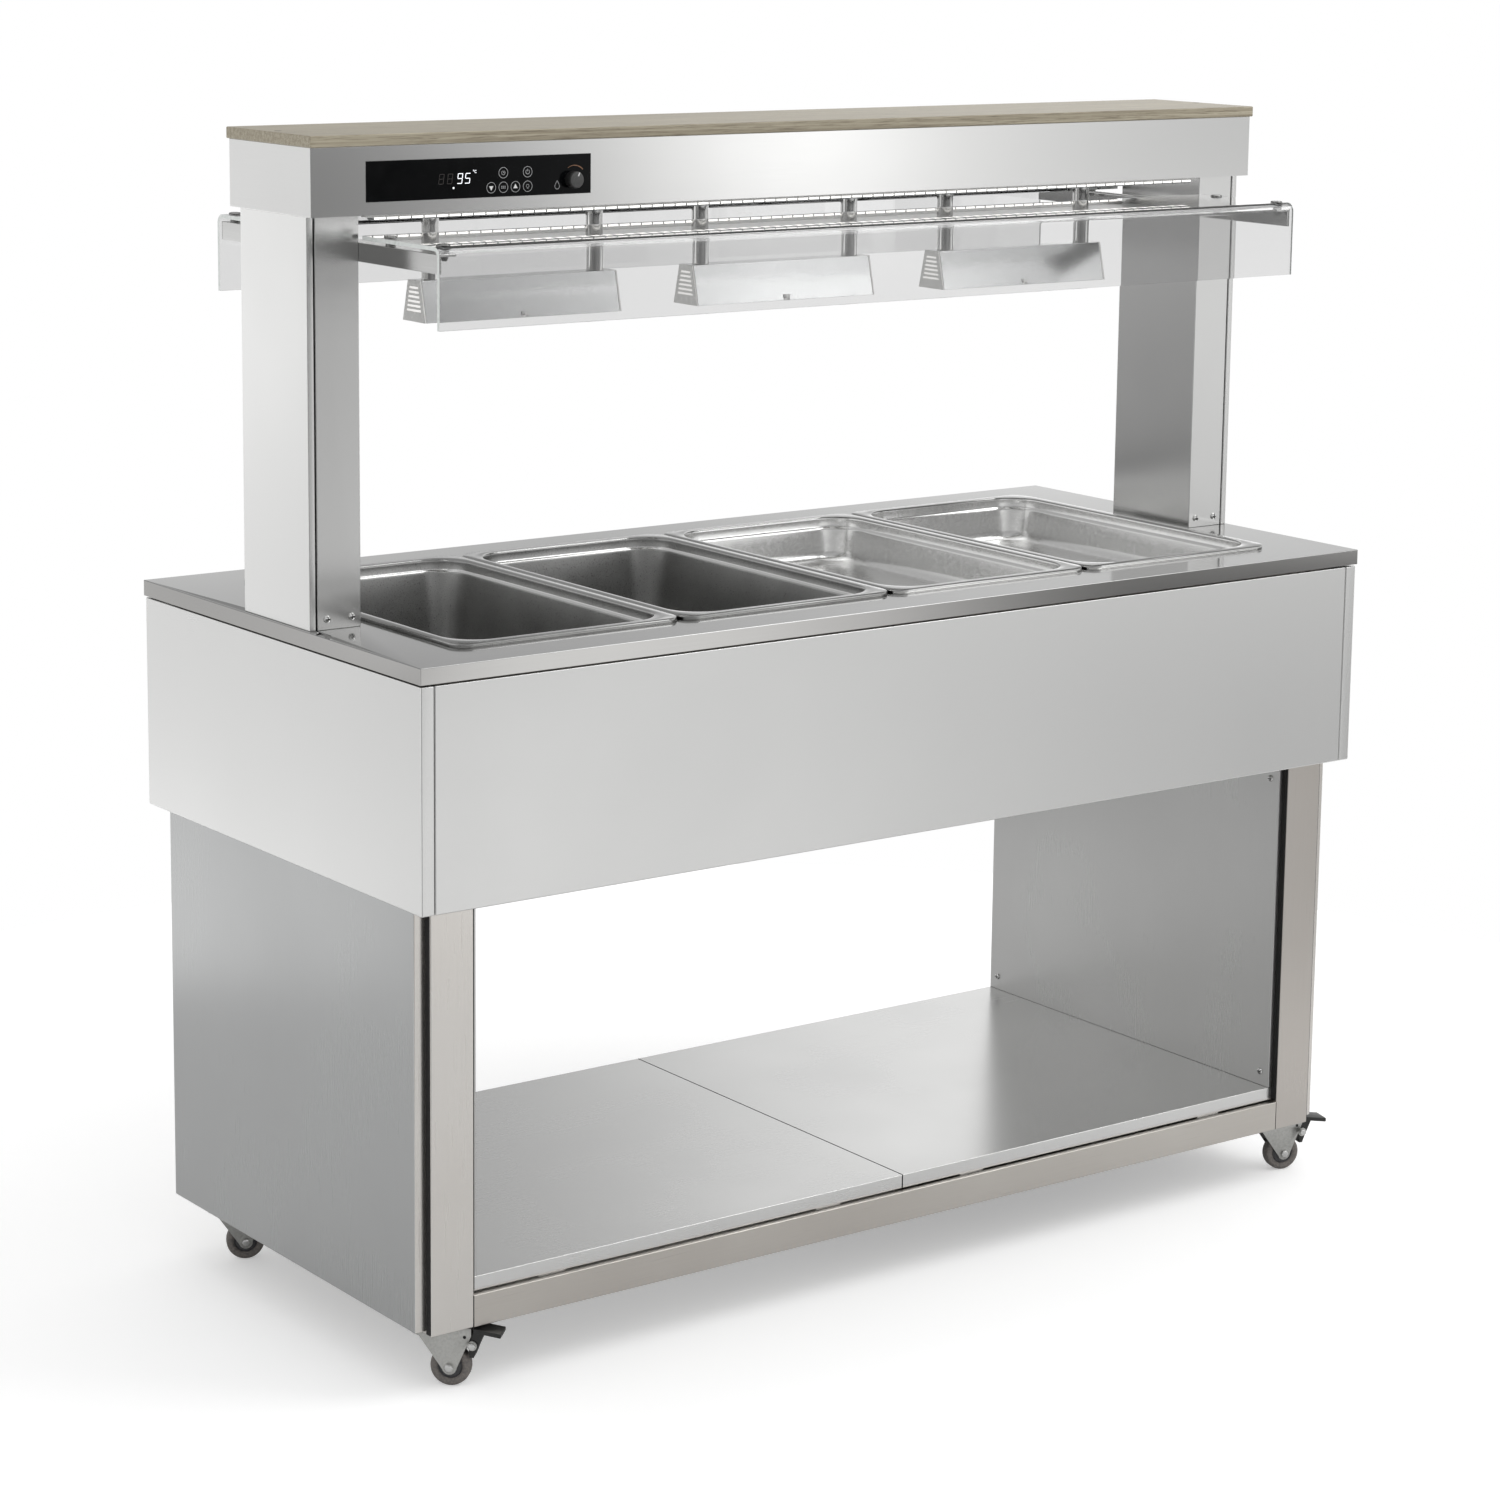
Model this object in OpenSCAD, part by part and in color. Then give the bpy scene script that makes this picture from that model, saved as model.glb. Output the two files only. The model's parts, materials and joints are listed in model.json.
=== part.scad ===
// Heated buffet island: a steel cabinet on casters with a water well for four
// food pans, and a bridge over it with heat lamps, lights and two guard glasses.
// +Z is up, the floor is z = 0, +X runs along the counter and -Y is the front.

/* [Counter] */
// Distance from the outer pans to the counter's ends
end_margin = 96.25; // [84:0.25:200]
// Distance from the pans to the counter's front and back edges
side_margin = 75; // [70:0.5:120]
// Height of the counter surface above the floor
counter_h = 900; // [880:5:950]
// Height of the turned-down edge
counter_edge = 20; // [14:1:26]
// Thickness of the steel sheet
sheet_t = 1.5; // [1:0.1:2]

/* [Pans and well] */
// Length of a food pan's rim, front to back
pan_l = 530; // [500:5:535]
// Width of a food pan's rim
pan_w = 325; // [310:1:328]
// Gap between two rims
pan_gap = 2.5; // [1:0.5:4]
// Depth of the two deep pans
deep_pan_h = 150; // [100:5:190]
// Depth of the two shallow pans
shallow_pan_h = 65; // [40:5:100]
// Height of a pan's rim
pan_rim_h = 5; // [4:0.5:8]
// Width of a pan's rim
pan_rim_w = 12.5; // [11:0.5:14]
// Wall of a pan
pan_wall = 1; // [0.8:0.1:1.5]
// Radius of a pan's upright corners
pan_corner_r = 48; // [35:1:55]
// Depth of the well below the counter surface
well_depth = 225; // [215:5:250]
// Gap between the well's flange and the frame under the counter
well_gap = 11; // [4:0.5:16]
// Diameter of the heating element
element_d = 8.5; // [6:0.5:10]
// Distance between the element's two legs
element_pitch = 150; // [80:5:200]
// Diameter of the drain pipe
drain_d = 33; // [20:1:40]

/* [Cladding] */
// Height of the upper cladding panels
skirt_h = 272; // [255:1:290]
// Shadow gap between the counter's edge and the cladding
skirt_gap = 2.5; // [1:0.5:6]
// How far the cladding stands back from the counter's edge
skirt_inset = 1.75; // [1:0.25:5]
// Thickness of the upper cladding panels
skirt_fold = 18; // [12:1:24]
// Width of the lip turned in behind each panel
panel_lip = 15; // [12:1:20]
// Thickness of the lower end panels
end_fold = 16.5; // [10:0.5:20]
// How far the lower end panels stand back from the posts
end_setback = 10; // [4:1:20]
// Height of the lower end panels above the posts' feet
end_lift = 5; // [2:1:15]
// Thickness of the inner side panels
liner_fold = 8.5; // [6:0.5:14]
// How far the inner side panels and shelf stand back from the posts
liner_setback = 9; // [4:1:16]

/* [Frame] */
// Side of the square posts
post_w = 60; // [50:1:70]
// Wall of the posts and rails
tube_wall = 2; // [1.5:0.1:3]
// Space between the posts and the end cladding
clip_x = 9.25; // [6:0.25:14]
// Space between the posts and the front cladding
clip_y = 8.25; // [6:0.25:14]
// Height and width of the bottom rails
rail_w = 40; // [30:1:44]
// Height of the frame under the counter
top_frame_h = 40; // [30:1:42]
// Width of the frame under the counter
top_frame_w = 28; // [22:1:30]
// Height of the shelf's turned-down edge
shelf_fold = 18; // [12:1:25]
// Gap between the shelf's edge and the rail
shelf_gap = 2; // [1:0.5:5]

/* [Bridge] */
// Width of an upright along the counter
upright_w = 60; // [50:1:70]
// Depth of an upright
upright_d = 160; // [140:2:170]
// Height of an upright
upright_h = 496; // [470:2:560]
// Thickness of the cover on an upright's outer face
cover_t = 9; // [6:0.5:12]
// Width of the groove between upright and cover
cover_groove = 2; // [1:0.5:3]
// Distance from the counter's end to the cover
cover_inset = 4; // [2:1:10]
// Depth of the beam
beam_d = 196; // [184:2:220]
// Height of the beam
beam_h = 82; // [74:1:100]
// Thickness of the board on the beam
board_t = 14; // [10:1:20]
// How far the board reaches past the beam's ends
board_over_x = 2; // [1:0.5:6]
// How far the board reaches past the beam's faces
board_over_y = 4; // [2:0.5:8]

/* [Guard glasses] */
// Reach of the guard from the middle of the counter
guard_reach = 265; // [240:5:300]
// Distance from the beam down to the glass
guard_drop = 24; // [18:1:40]
// Height of the hanging part of the glass
guard_h = 97; // [70:1:140]
// Thickness of the glass
guard_t = 5; // [4:0.5:6]
// Outer radius of the bend
guard_bend_r = 12; // [9:1:16]
// How far the glass reaches past the bars
guard_over = 2; // [1:0.5:5]
// Distance from the upright to the glass's back edge
guard_back = 12; // [8:1:30]
// Height of the bars that carry the glass
bar_h = 23; // [16:1:30]
// Width of the bars' top flange
bar_flange = 24; // [20:1:30]
// Thickness of the bars
bar_t = 4; // [3:0.5:5]
// Height of the spacers between bar and glass
bar_spacer = 4; // [2:0.5:6]

/* [Heat lamps and lights] */
// Length of a lamp
lamp_l = 290; // [240:2:320]
// Distance from an upright to the nearest lamp
lamp_side = 124; // [60:2:180]
// Height of a lamp
lamp_h = 51; // [46:1:60]
// Width of a lamp at its top
lamp_top_w = 28; // [25:1:34]
// Width of a lamp at its mouth
lamp_mouth_w = 52; // [46:1:70]
// Wall of a lamp
lamp_wall = 1.2; // [1:0.1:2]
// Thickness of a lamp's end caps
lamp_cap_t = 3; // [2:0.5:5]
// Diameter of the heating tube
lamp_tube_d = 10; // [8:0.5:11]
// Diameter of a stem
stem_d = 22; // [16:1:24]
// Length of a stem
stem_l = 91; // [70:1:120]
// Distance between a lamp's two stems
stem_pitch = 242; // [160:2:250]
// Width of a light strip
light_w = 20; // [14:1:24]
// Height of a light strip
light_h = 9; // [7:0.5:11]
// Distance between the two light strips
light_pitch = 150; // [120:2:160]

/* [Control panel] */
// Length of the control glass
panel_l = 318; // [300:2:340]
// Height of the control glass
panel_h = 48.5; // [44:0.5:54]
// Thickness of the control glass
panel_t = 1.5; // [1:0.1:3]
// Distance from the beam's end to the control glass
panel_inset = 75; // [30:1:120]
// Diameter of the knob
knob_d = 21; // [16:0.5:26]
// Length of the knob
knob_l = 12; // [8:0.5:18]

/* [Casters] */
// Height of a caster, floor to post
caster_h = 80; // [78:1:90]
// Diameter of a wheel
wheel_d = 50; // [46:1:52]
// Width of a wheel's tread
wheel_w = 18; // [14:1:20]
// Distance from swivel to axle
caster_trail = 28; // [26:1:30]
// Side of a caster's top plate
caster_plate_w = 60; // [54:1:64]
// Distance of the swivel from the posts' outer faces, front to back
caster_inset = 55; // [45:1:58]
// Thickness of a fork's legs
fork_t = 2; // [1.5:0.1:3]

/* [Hidden] */
$fn = 48;
seam = 0.5;      // joint between two panels that meet edge to edge
fit = 0.3;       // clearance of a piece that slips into or over another
cut = 1;         // how far a cutting shape runs past the face it cuts
run_fit = 0.05;  // radial clearance of a turning part
weld = 0.5;      // how deep a welded-on detail sinks into its carrier

// Pans side by side set the counter's length and depth; outer faces are measured from the middle
pan_count = 4;
pan_pitch = pan_w + pan_gap;
counter_l = pan_count * pan_w + (pan_count - 1) * pan_gap + 2 * end_margin;
counter_d = pan_l + 2 * side_margin;
half_l = counter_l / 2;
half_d = counter_d / 2;
skirt_x = half_l - skirt_inset;
skirt_y = half_d - skirt_inset;
skirt_top = counter_h - counter_edge - skirt_gap;
skirt_bottom = skirt_top - skirt_h;
post_x = skirt_x - skirt_fold - clip_x;
post_y = skirt_y - skirt_fold - clip_y;
post_in_x = post_x - post_w;
post_in_y = post_y - post_w;
frame_top = counter_h - sheet_t;
frame_bottom = frame_top - top_frame_h;
rail_top = caster_h + rail_w;
shelf_top = rail_top + shelf_gap + shelf_fold;
liner_y = post_y - liner_setback;
liner_face_x = post_in_x - liner_fold;
liner_screw_y = post_in_y + post_w / 2 + 4;
liner_screw_z = [shelf_top + 20, skirt_bottom - 25];

// Well and pans
rim_rest = 10;
well_x = half_l - end_margin - rim_rest;
well_y = half_d - side_margin - rim_rest;
well_r = 15;
well_flange = post_y - top_frame_w - well_gap - well_y;
well_floor = counter_h - well_depth;
rim_r = 22;
shoulder_h = 14;
shoulder_in = 3;
pan_draft = 0.06;
pan_floor_r = 16;
element_z = well_floor + 15;
terminal_l = 24;
drain_inset = [90, 60];
drain_at = [well_x - drain_inset[0], well_y - drain_inset[1]];
drain_below = 22;
gland_inset = [20, 60];
gland_at = [well_x - gland_inset[0], -well_y + gland_inset[1]];
gland_thread_r = 10;
gland_bore_r = 5;
gland_neck = [9, 12];
gland_hex_r = 13.5;
gland_hex_h = [8, 5];
gland_above = 11.5;

// Bridge
upright_x = half_l - cover_inset - cover_t - cover_groove;
upright_in_x = upright_x - upright_w;
upright_mid_x = upright_x - upright_w / 2;
beam_z = counter_h + upright_h;
beam_top = beam_z + beam_h;
spigot_h = 40;
spigot_screw = [17, 13];
cable_hole_r = 15;
board_screw_x = half_l - 12;
board_screw_r = 2;
board_head = [5, 1.5];

// Guards
guard_z = beam_z - guard_drop;
bar_top = guard_z - guard_t - bar_spacer;
guard_x = upright_in_x + guard_over;
guard_screw_x = upright_in_x - bar_flange / 2 - 2;
guard_screw_back = 50;
guard_screw_front = 5;
guard_screw_y = [upright_d / 2 + guard_screw_back, guard_reach - guard_bend_r - guard_screw_front];

// Lamps and lights
lamp_top_z = beam_z - stem_l;
lamp_z = lamp_top_z - lamp_h;
lamp_body_l = lamp_l - 2 * lamp_cap_t;
lamp_pitch = upright_in_x - lamp_side - lamp_l / 2;
lamp_at = [for (i = [-1:1]) i * lamp_pitch];
lamp_tube_z = lamp_z + 16;
light_l = 2 * (upright_in_x - 12);

// Control panel
panel_x = -half_l + panel_inset;
panel_z = beam_z + beam_h / 2 - panel_h / 2 - 1.2;
panel_y = -beam_d / 2;
window_rim = 12;
knob_inset = [28.5, 6.7];
knob_at = [panel_x + panel_l - knob_inset[0], panel_z + panel_h / 2 - knob_inset[1]];
knob_shaft_r = 3;
knob_shaft_l = 14;
knob_lift = 0.5;
knob_rest = 22;  // clockwise turn of the notch at rest
module_depth = 26;

// Fasteners
screw_r = 2.5;
screw_head = [4.75, 3];
screw_gap = 0.1;

// Casters: position, and the direction each fork trails in
caster_x = post_x - post_w / 2;
caster_y = post_y - caster_inset;
plate_t = 3;
king_r = 6;
king_head = [9, 3];
fork_head_r = 21;
fork_head_h = 10.5;
fork_top = caster_h - plate_t - fit;
fork_head_z = fork_top - fork_head_h;
fork_half = wheel_w / 2 + 1.5;
axle_r = 3;
axle_z = wheel_d / 2;
pivot_back = 28;
pivot_down = 26;
pivot = [caster_trail + pivot_back, caster_h - pivot_down];
pivot_r = 2.5;
pedal_half = fork_half - 0.6;
pedal_reach = 36;
pedal_drop = 5;
pedal_t = 5;
turn_front_left = -45;
turn_front_right = -17;
turn_back_left = -25;
turn_back_right = -25;

// A block between two opposite corners
module block(a, b) {
    translate(a) cube(b - a);
}

module both_x() {
    children();
    mirror([1, 0, 0]) children();
}

module both_y() {
    children();
    mirror([0, 1, 0]) children();
}

// A rectangle with round corners, centred
module round_rect(w, d, r) {
    square([w - 2 * r, d], center = true);
    square([w, d - 2 * r], center = true);
    for (x = [-1, 1], y = [-1, 1])
        translate([x * (w / 2 - r), y * (d / 2 - r)]) circle(r);
}

// A folded sheet panel, outer face at y = 0, standing on z = 0, open at its back inside the lip
module folded_panel(w, h, fold, lip) {
    difference() {
        block([-w / 2, 0, 0], [w / 2, fold, h]);
        block([-w / 2 + sheet_t, sheet_t, sheet_t], [w / 2 - sheet_t, fold - sheet_t, h - sheet_t]);
        block([-w / 2 + lip, fold - sheet_t - cut, lip], [w / 2 - lip, fold + cut, h - lip]);
    }
}

// A hole along X through a wall near x
module hole_x(at, r, l) {
    translate(at) rotate([0, 90, 0]) cylinder(h = l, r = r, center = true);
}

// A hole along Y through a wall near y
module hole_y(at, r, l) {
    translate(at) rotate([90, 0, 0]) cylinder(h = l, r = r, center = true);
}

// Pan-head screw, its head on z = 0 and its shank down
module screw(l) {
    cylinder(h = screw_head[1], r = screw_head[0]);
    translate([0, 0, -l]) cylinder(h = l + weld, r = screw_r);
}

// Places of the screws at the foot of an upright on the right
module spigot_screws() {
    for (x = [-1, 1])
        translate([upright_mid_x + x * spigot_screw[0], -upright_d / 2, counter_h + spigot_screw[1]])
            rotate([90, 0, 0]) children();
}

// Sheet with a turned-down edge, the well's cut-out and a welded socket for each upright
module counter_top() {
    color("silver") difference() {
        union() {
            difference() {
                block([-half_l, -half_d, counter_h - counter_edge], [half_l, half_d, counter_h]);
                block([-half_l + sheet_t, -half_d + sheet_t, counter_h - counter_edge - cut],
                      [half_l - sheet_t, half_d - sheet_t, counter_h - sheet_t]);
                translate([0, 0, counter_h - counter_edge])
                    linear_extrude(counter_edge + cut) round_rect(2 * well_x, 2 * well_y, well_r);
            }
            both_x() spigot();
        }
        both_x() translate([upright_mid_x, 0, counter_h - sheet_t - cut])
            cylinder(h = sheet_t + 2 * cut, r = cable_hole_r);
    }
}

module spigot() {
    w = upright_w / 2 - tube_wall - fit;
    d = upright_d / 2 - tube_wall - fit;
    translate([upright_mid_x, 0, 0]) difference() {
        block([-w, -d, counter_h - weld], [w, d, counter_h + spigot_h]);
        block([-w + tube_wall, -d + tube_wall, counter_h - cut],
              [w - tube_wall, d - tube_wall, counter_h + spigot_h + cut]);
        for (x = [-1, 1])
            hole_y([x * spigot_screw[0], 0, counter_h + spigot_screw[1]], screw_r + screw_gap, upright_d);
    }
}

// Deep-drawn water well that hangs under the counter by its flange
module well_tank() {
    color("gainsboro") difference() {
        union() {
            translate([0, 0, well_floor - sheet_t]) linear_extrude(frame_top - well_floor + sheet_t)
                round_rect(2 * (well_x + sheet_t), 2 * (well_y + sheet_t), well_r + sheet_t);
            translate([0, 0, frame_top - sheet_t]) linear_extrude(sheet_t)
                round_rect(2 * (well_x + well_flange), 2 * (well_y + well_flange), well_r);
        }
        translate([0, 0, well_floor]) linear_extrude(well_depth)
            round_rect(2 * well_x, 2 * well_y, well_r);
        translate([drain_at[0], drain_at[1], well_floor - sheet_t - cut])
            cylinder(h = sheet_t + 2 * cut, r = drain_d / 2 + fit);
        for (y = [-1, 1])
            hole_x([well_x, y * element_pitch / 2, element_z], element_d / 2 + fit, 4 * sheet_t);
    }
}

// Tubular element in the water: two legs and a bend, two feet and the flange of its terminals
module well_heater() {
    r = element_d / 2;
    leg_from = -well_x + element_pitch;
    leg_to = well_x + sheet_t + terminal_l;
    color("dimgray") {
        translate([leg_from, 0, element_z]) rotate([0, 0, 180]) {
            rotate([0, 0, -90]) rotate_extrude(angle = 180) translate([element_pitch / 2, 0]) circle(r);
            for (y = [-1, 1]) translate([0, y * element_pitch / 2, 0])
                rotate([0, -90, 0]) cylinder(h = leg_to - leg_from, r = r);
        }
        block([well_x - 3, -element_pitch / 2 - 20, element_z - 12],
              [well_x, element_pitch / 2 + 20, element_z + 12]);
        for (x = [-well_x / 2, well_x / 2])
            block([x - 3, -element_pitch / 2 - 10, well_floor],
                  [x + 3, element_pitch / 2 + 10, element_z - r + 1]);
    }
}

// Pipe from the well's floor to a closed cap under the bottom cover
module drain_outlet() {
    r = drain_d / 2;
    below = skirt_bottom - drain_below;
    color("darkgray") translate([drain_at[0], drain_at[1], 0]) difference() {
        union() {
            translate([0, 0, well_floor]) cylinder(h = 3, r = r + 9);
            translate([0, 0, below]) cylinder(h = well_floor - below + 1, r = r);
            translate([0, 0, below - 6]) cylinder(h = 20, r = r + 4);
        }
        translate([0, 0, below]) cylinder(h = well_floor - below + 3 + cut, r = r - 3);
    }
}

// Sheet that closes the space around the well from below
module bottom_cover() {
    x = skirt_x - skirt_fold - seam;
    y = skirt_y - skirt_fold - seam;
    color("lightgray") difference() {
        block([-x, -y, skirt_bottom], [x, y, skirt_bottom + sheet_t]);
        both_x() both_y() block([post_in_x - fit, post_in_y - fit, skirt_bottom - cut],
                                [x + cut, y + cut, skirt_bottom + sheet_t + cut]);
        translate([drain_at[0], drain_at[1], skirt_bottom - cut])
            cylinder(h = sheet_t + 2 * cut, r = drain_d / 2 + 4 + 2 * fit);
        translate([gland_at[0], gland_at[1], skirt_bottom - cut])
            cylinder(h = sheet_t + 2 * cut, r = gland_thread_r + fit);
    }
}

// Mains inlet: a gland with a nut, its bore open for a cable
module cable_gland() {
    below = gland_hex_h[0] + gland_neck[1];
    color("black") translate([gland_at[0], gland_at[1], skirt_bottom]) difference() {
        union() {
            translate([0, 0, -gland_hex_h[0]]) cylinder(h = gland_hex_h[0], r = gland_hex_r, $fn = 6);
            translate([0, 0, -below]) cylinder(h = gland_neck[1] + weld, r = gland_neck[0]);
            translate([0, 0, -weld]) cylinder(h = gland_above + weld, r = gland_thread_r);
            translate([0, 0, sheet_t]) cylinder(h = gland_hex_h[1], r = gland_hex_r, $fn = 6);
        }
        translate([0, 0, -below - cut]) cylinder(h = below + gland_above + 2 * cut, r = gland_bore_r);
    }
}

module skirt_front() {
    color("whitesmoke") translate([0, -skirt_y, skirt_bottom])
        folded_panel(2 * (skirt_x - skirt_fold - seam), skirt_h, skirt_fold, panel_lip);
}

module skirt_back() {
    mirror([0, 1, 0]) skirt_front();
}

module skirt_left() {
    color("whitesmoke") translate([-skirt_x, 0, skirt_bottom]) rotate([0, 0, -90])
        folded_panel(2 * skirt_y, skirt_h, skirt_fold, panel_lip);
}

module skirt_right() {
    mirror([1, 0, 0]) skirt_left();
}

// Lower end panel, folded like the skirt, its back on the posts
module end_panel_left() {
    bottom = caster_h + end_lift;
    color("darkgray") translate([-post_x - end_fold, 0, bottom]) rotate([0, 0, -90])
        folded_panel(2 * (post_y - end_setback), skirt_bottom - fit - bottom, end_fold, panel_lip);
}

module end_panel_right() {
    mirror([1, 0, 0]) end_panel_left();
}

// Inner side panel of the storage bay, standing on the shelf and screwed to the posts
module liner_right() {
    color("silver") difference() {
        translate([liner_face_x, 0, shelf_top]) rotate([0, 0, -90])
            folded_panel(2 * liner_y, skirt_bottom - shelf_top, liner_fold, sheet_t);
        for (y = [-1, 1], z = liner_screw_z)
            hole_x([liner_face_x, y * liner_screw_y, z], screw_r + screw_gap, 4 * sheet_t);
    }
}

module liner_left() {
    mirror([1, 0, 0]) liner_right();
}

// Square post with a welded foot plate and two pads for the cladding
module post() {
    pad_z = skirt_bottom + sheet_t + seam;
    pad_h = panel_lip - sheet_t - seam;
    mid_y = post_in_y + post_w / 2;
    color("silver") difference() {
        union() {
            block([post_in_x, post_in_y, caster_h], [post_x, post_y, frame_bottom]);
            block([post_x - weld, mid_y - 18, pad_z], [post_x + clip_x, mid_y + 18, pad_z + pad_h]);
            block([caster_x - 18, post_y - weld, pad_z], [caster_x + 18, post_y + clip_y, pad_z + pad_h]);
        }
        block([post_in_x + tube_wall, post_in_y + tube_wall, caster_h + 3],
              [post_x - tube_wall, post_y - tube_wall, frame_bottom + cut]);
        for (z = liner_screw_z)
            hole_x([post_in_x, liner_screw_y, z], screw_r + screw_gap, 4 * tube_wall);
    }
}

module post_back_right() {
    post();
}

module post_back_left() {
    mirror([1, 0, 0]) post();
}

module post_front_right() {
    mirror([0, 1, 0]) post();
}

module post_front_left() {
    mirror([1, 0, 0]) mirror([0, 1, 0]) post();
}

// Four square tubes between the posts: front, back and both ends
module bottom_rails() {
    w = tube_wall;
    end_x = post_in_x + post_w / 2 - rail_w / 2;
    color("silver") {
        both_y() difference() {
            block([-post_in_x, post_y - rail_w, caster_h], [post_in_x, post_y, rail_top]);
            block([-post_in_x - cut, post_y - rail_w + w, caster_h + w],
                  [post_in_x + cut, post_y - w, rail_top - w]);
        }
        both_x() difference() {
            block([end_x, -post_in_y, caster_h], [end_x + rail_w, post_in_y, rail_top]);
            block([end_x + w, -post_in_y - cut, caster_h + w],
                  [end_x + rail_w - w, post_in_y + cut, rail_top - w]);
        }
    }
}

// Welded ring of channel section on the posts, with pads for the cladding
module top_frame() {
    w = tube_wall;
    pad_z = skirt_top - panel_lip + seam;
    pad_h = panel_lip - sheet_t - seam;
    color("silver") {
        difference() {
            block([-post_x, -post_y, frame_bottom], [post_x, post_y, frame_top]);
            block([-post_x + top_frame_w, -post_y + top_frame_w, frame_bottom - cut],
                  [post_x - top_frame_w, post_y - top_frame_w, frame_top + cut]);
            block([-post_x + w, -post_y + w, frame_bottom + w], [post_x - w, post_y - w, frame_top - w]);
        }
        both_y() for (x = [-post_x * 0.6, 0, post_x * 0.6])
            block([x - 20, post_y - weld, pad_z], [x + 20, post_y + clip_y, pad_z + pad_h]);
        both_x() for (y = [-post_y * 0.5, post_y * 0.5])
            block([post_x - weld, y - 20, pad_z], [post_x + clip_x, y + 20, pad_z + pad_h]);
    }
}

// Folded shelf sheet with two hat sections that rest on the rails
module shelf_right() {
    hat_w = 40;
    far = post_in_x - fit;
    color("lightgray") {
        difference() {
            block([seam / 2, -liner_y, shelf_top - shelf_fold], [far, liner_y, shelf_top]);
            block([seam / 2 + sheet_t, -liner_y + sheet_t, shelf_top - shelf_fold - cut],
                  [far - sheet_t, liner_y - sheet_t, shelf_top - sheet_t]);
        }
        for (x = [far * 0.18, far * 0.82]) difference() {
            block([x - hat_w / 2, -liner_y + 2 * sheet_t, rail_top],
                  [x + hat_w / 2, liner_y - 2 * sheet_t, shelf_top - sheet_t / 2]);
            block([x - hat_w / 2 + sheet_t, -liner_y, rail_top + sheet_t],
                  [x + hat_w / 2 - sheet_t, liner_y, shelf_top - sheet_t]);
        }
    }
}

module shelf_left() {
    mirror([1, 0, 0]) shelf_right();
}

// Rectangular tube over its socket on the counter
module upright_right() {
    w = tube_wall;
    y = upright_d / 2;
    color("silver") difference() {
        block([upright_in_x, -y, counter_h], [upright_x, y, beam_z]);
        block([upright_in_x + w, -y + w, counter_h - cut], [upright_x - w, y - w, beam_z + cut]);
        for (x = [-1, 1])
            hole_y([upright_mid_x + x * spigot_screw[0], 0, counter_h + spigot_screw[1]],
                   screw_r + screw_gap, upright_d + 2 * cut);
    }
}

module upright_left() {
    mirror([1, 0, 0]) upright_right();
}

// Folded covers on the outer faces, set off by a groove
module upright_covers() {
    y = upright_d / 2;
    groove_d = 6;
    color("silver") both_x() {
        translate([upright_x + cover_groove + cover_t, 0, counter_h]) rotate([0, 0, 90])
            folded_panel(upright_d, upright_h, cover_t, panel_lip);
        difference() {
            block([upright_x, -y + groove_d, counter_h + groove_d],
                  [upright_x + cover_groove + weld, y - groove_d, beam_z - groove_d]);
            block([upright_x - cut, -y + panel_lip, counter_h + panel_lip],
                  [upright_x + cover_groove + cut, y - panel_lip, beam_z - panel_lip]);
        }
    }
}

// Folded shell of the beam, open below, with the window behind the control glass
module beam_shell() {
    y = beam_d / 2;
    color("silver") difference() {
        block([-half_l, -y, beam_z], [half_l, y, beam_top]);
        block([-half_l + sheet_t, -y + sheet_t, beam_z - cut],
              [half_l - sheet_t, y - sheet_t, beam_top - sheet_t]);
        block([panel_x + window_rim, -y - cut, panel_z + 4],
              [panel_x + panel_l - window_rim, -y + sheet_t + cut, panel_z + panel_h - 4]);
        both_x() translate([board_screw_x, 0, beam_top - sheet_t - cut])
            cylinder(h = sheet_t + 2 * cut, r = board_screw_r + screw_gap);
    }
}

// Sheet that closes the beam from below and rests on the uprights
module beam_tray() {
    x = half_l - sheet_t - fit;
    y = beam_d / 2 - sheet_t - fit;
    color("silver") difference() {
        block([-x, -y, beam_z], [x, y, beam_z + sheet_t]);
        both_x() translate([upright_mid_x, 0, beam_z - cut])
            cylinder(h = sheet_t + 2 * cut, r = cable_hole_r);
    }
}

// Wood-look board on the beam, recessed for its screws
module top_board() {
    color("tan") difference() {
        block([-half_l - board_over_x, -beam_d / 2 - board_over_y, beam_top],
              [half_l + board_over_x, beam_d / 2 + board_over_y, beam_top + board_t]);
        both_x() translate([board_screw_x, 0, beam_top - cut]) {
            cylinder(h = board_t + 2 * cut, r = board_screw_r + screw_gap);
            translate([0, 0, board_t + cut - board_head[1]])
                cylinder(h = board_head[1] + cut, r = board_head[0] + screw_gap);
        }
    }
}

// Screw through an end of the board, its head flush
module board_screw() {
    translate([board_screw_x, 0, beam_top + board_t - board_head[1]]) {
        cylinder(h = board_head[1], r = board_head[0]);
        translate([0, 0, -board_t - 2]) cylinder(h = board_t + 2 + weld, r = board_screw_r);
    }
}

// Clear guard bent once: a level part towards the bridge and a hanging part in front
module guard_glass_back() {
    y_back = upright_d / 2 + guard_back;
    r = guard_bend_r;
    color("lightcyan", 0.4) difference() {
        union() {
            block([-guard_x, y_back, guard_z - guard_t], [guard_x, guard_reach - r, guard_z]);
            block([-guard_x, guard_reach - guard_t, guard_z - guard_h], [guard_x, guard_reach, guard_z - r]);
            translate([-guard_x, guard_reach - r, guard_z - r]) intersection() {
                rotate([0, 90, 0]) difference() {
                    cylinder(h = 2 * guard_x, r = r);
                    translate([0, 0, -cut]) cylinder(h = 2 * guard_x + 2 * cut, r = r - guard_t);
                }
                cube([2 * guard_x, r, r]);
            }
        }
        both_x() for (y = guard_screw_y)
            translate([guard_screw_x, y, guard_z - guard_t - cut]) cylinder(h = guard_t + 2 * cut, r = 3.3);
    }
}

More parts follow.
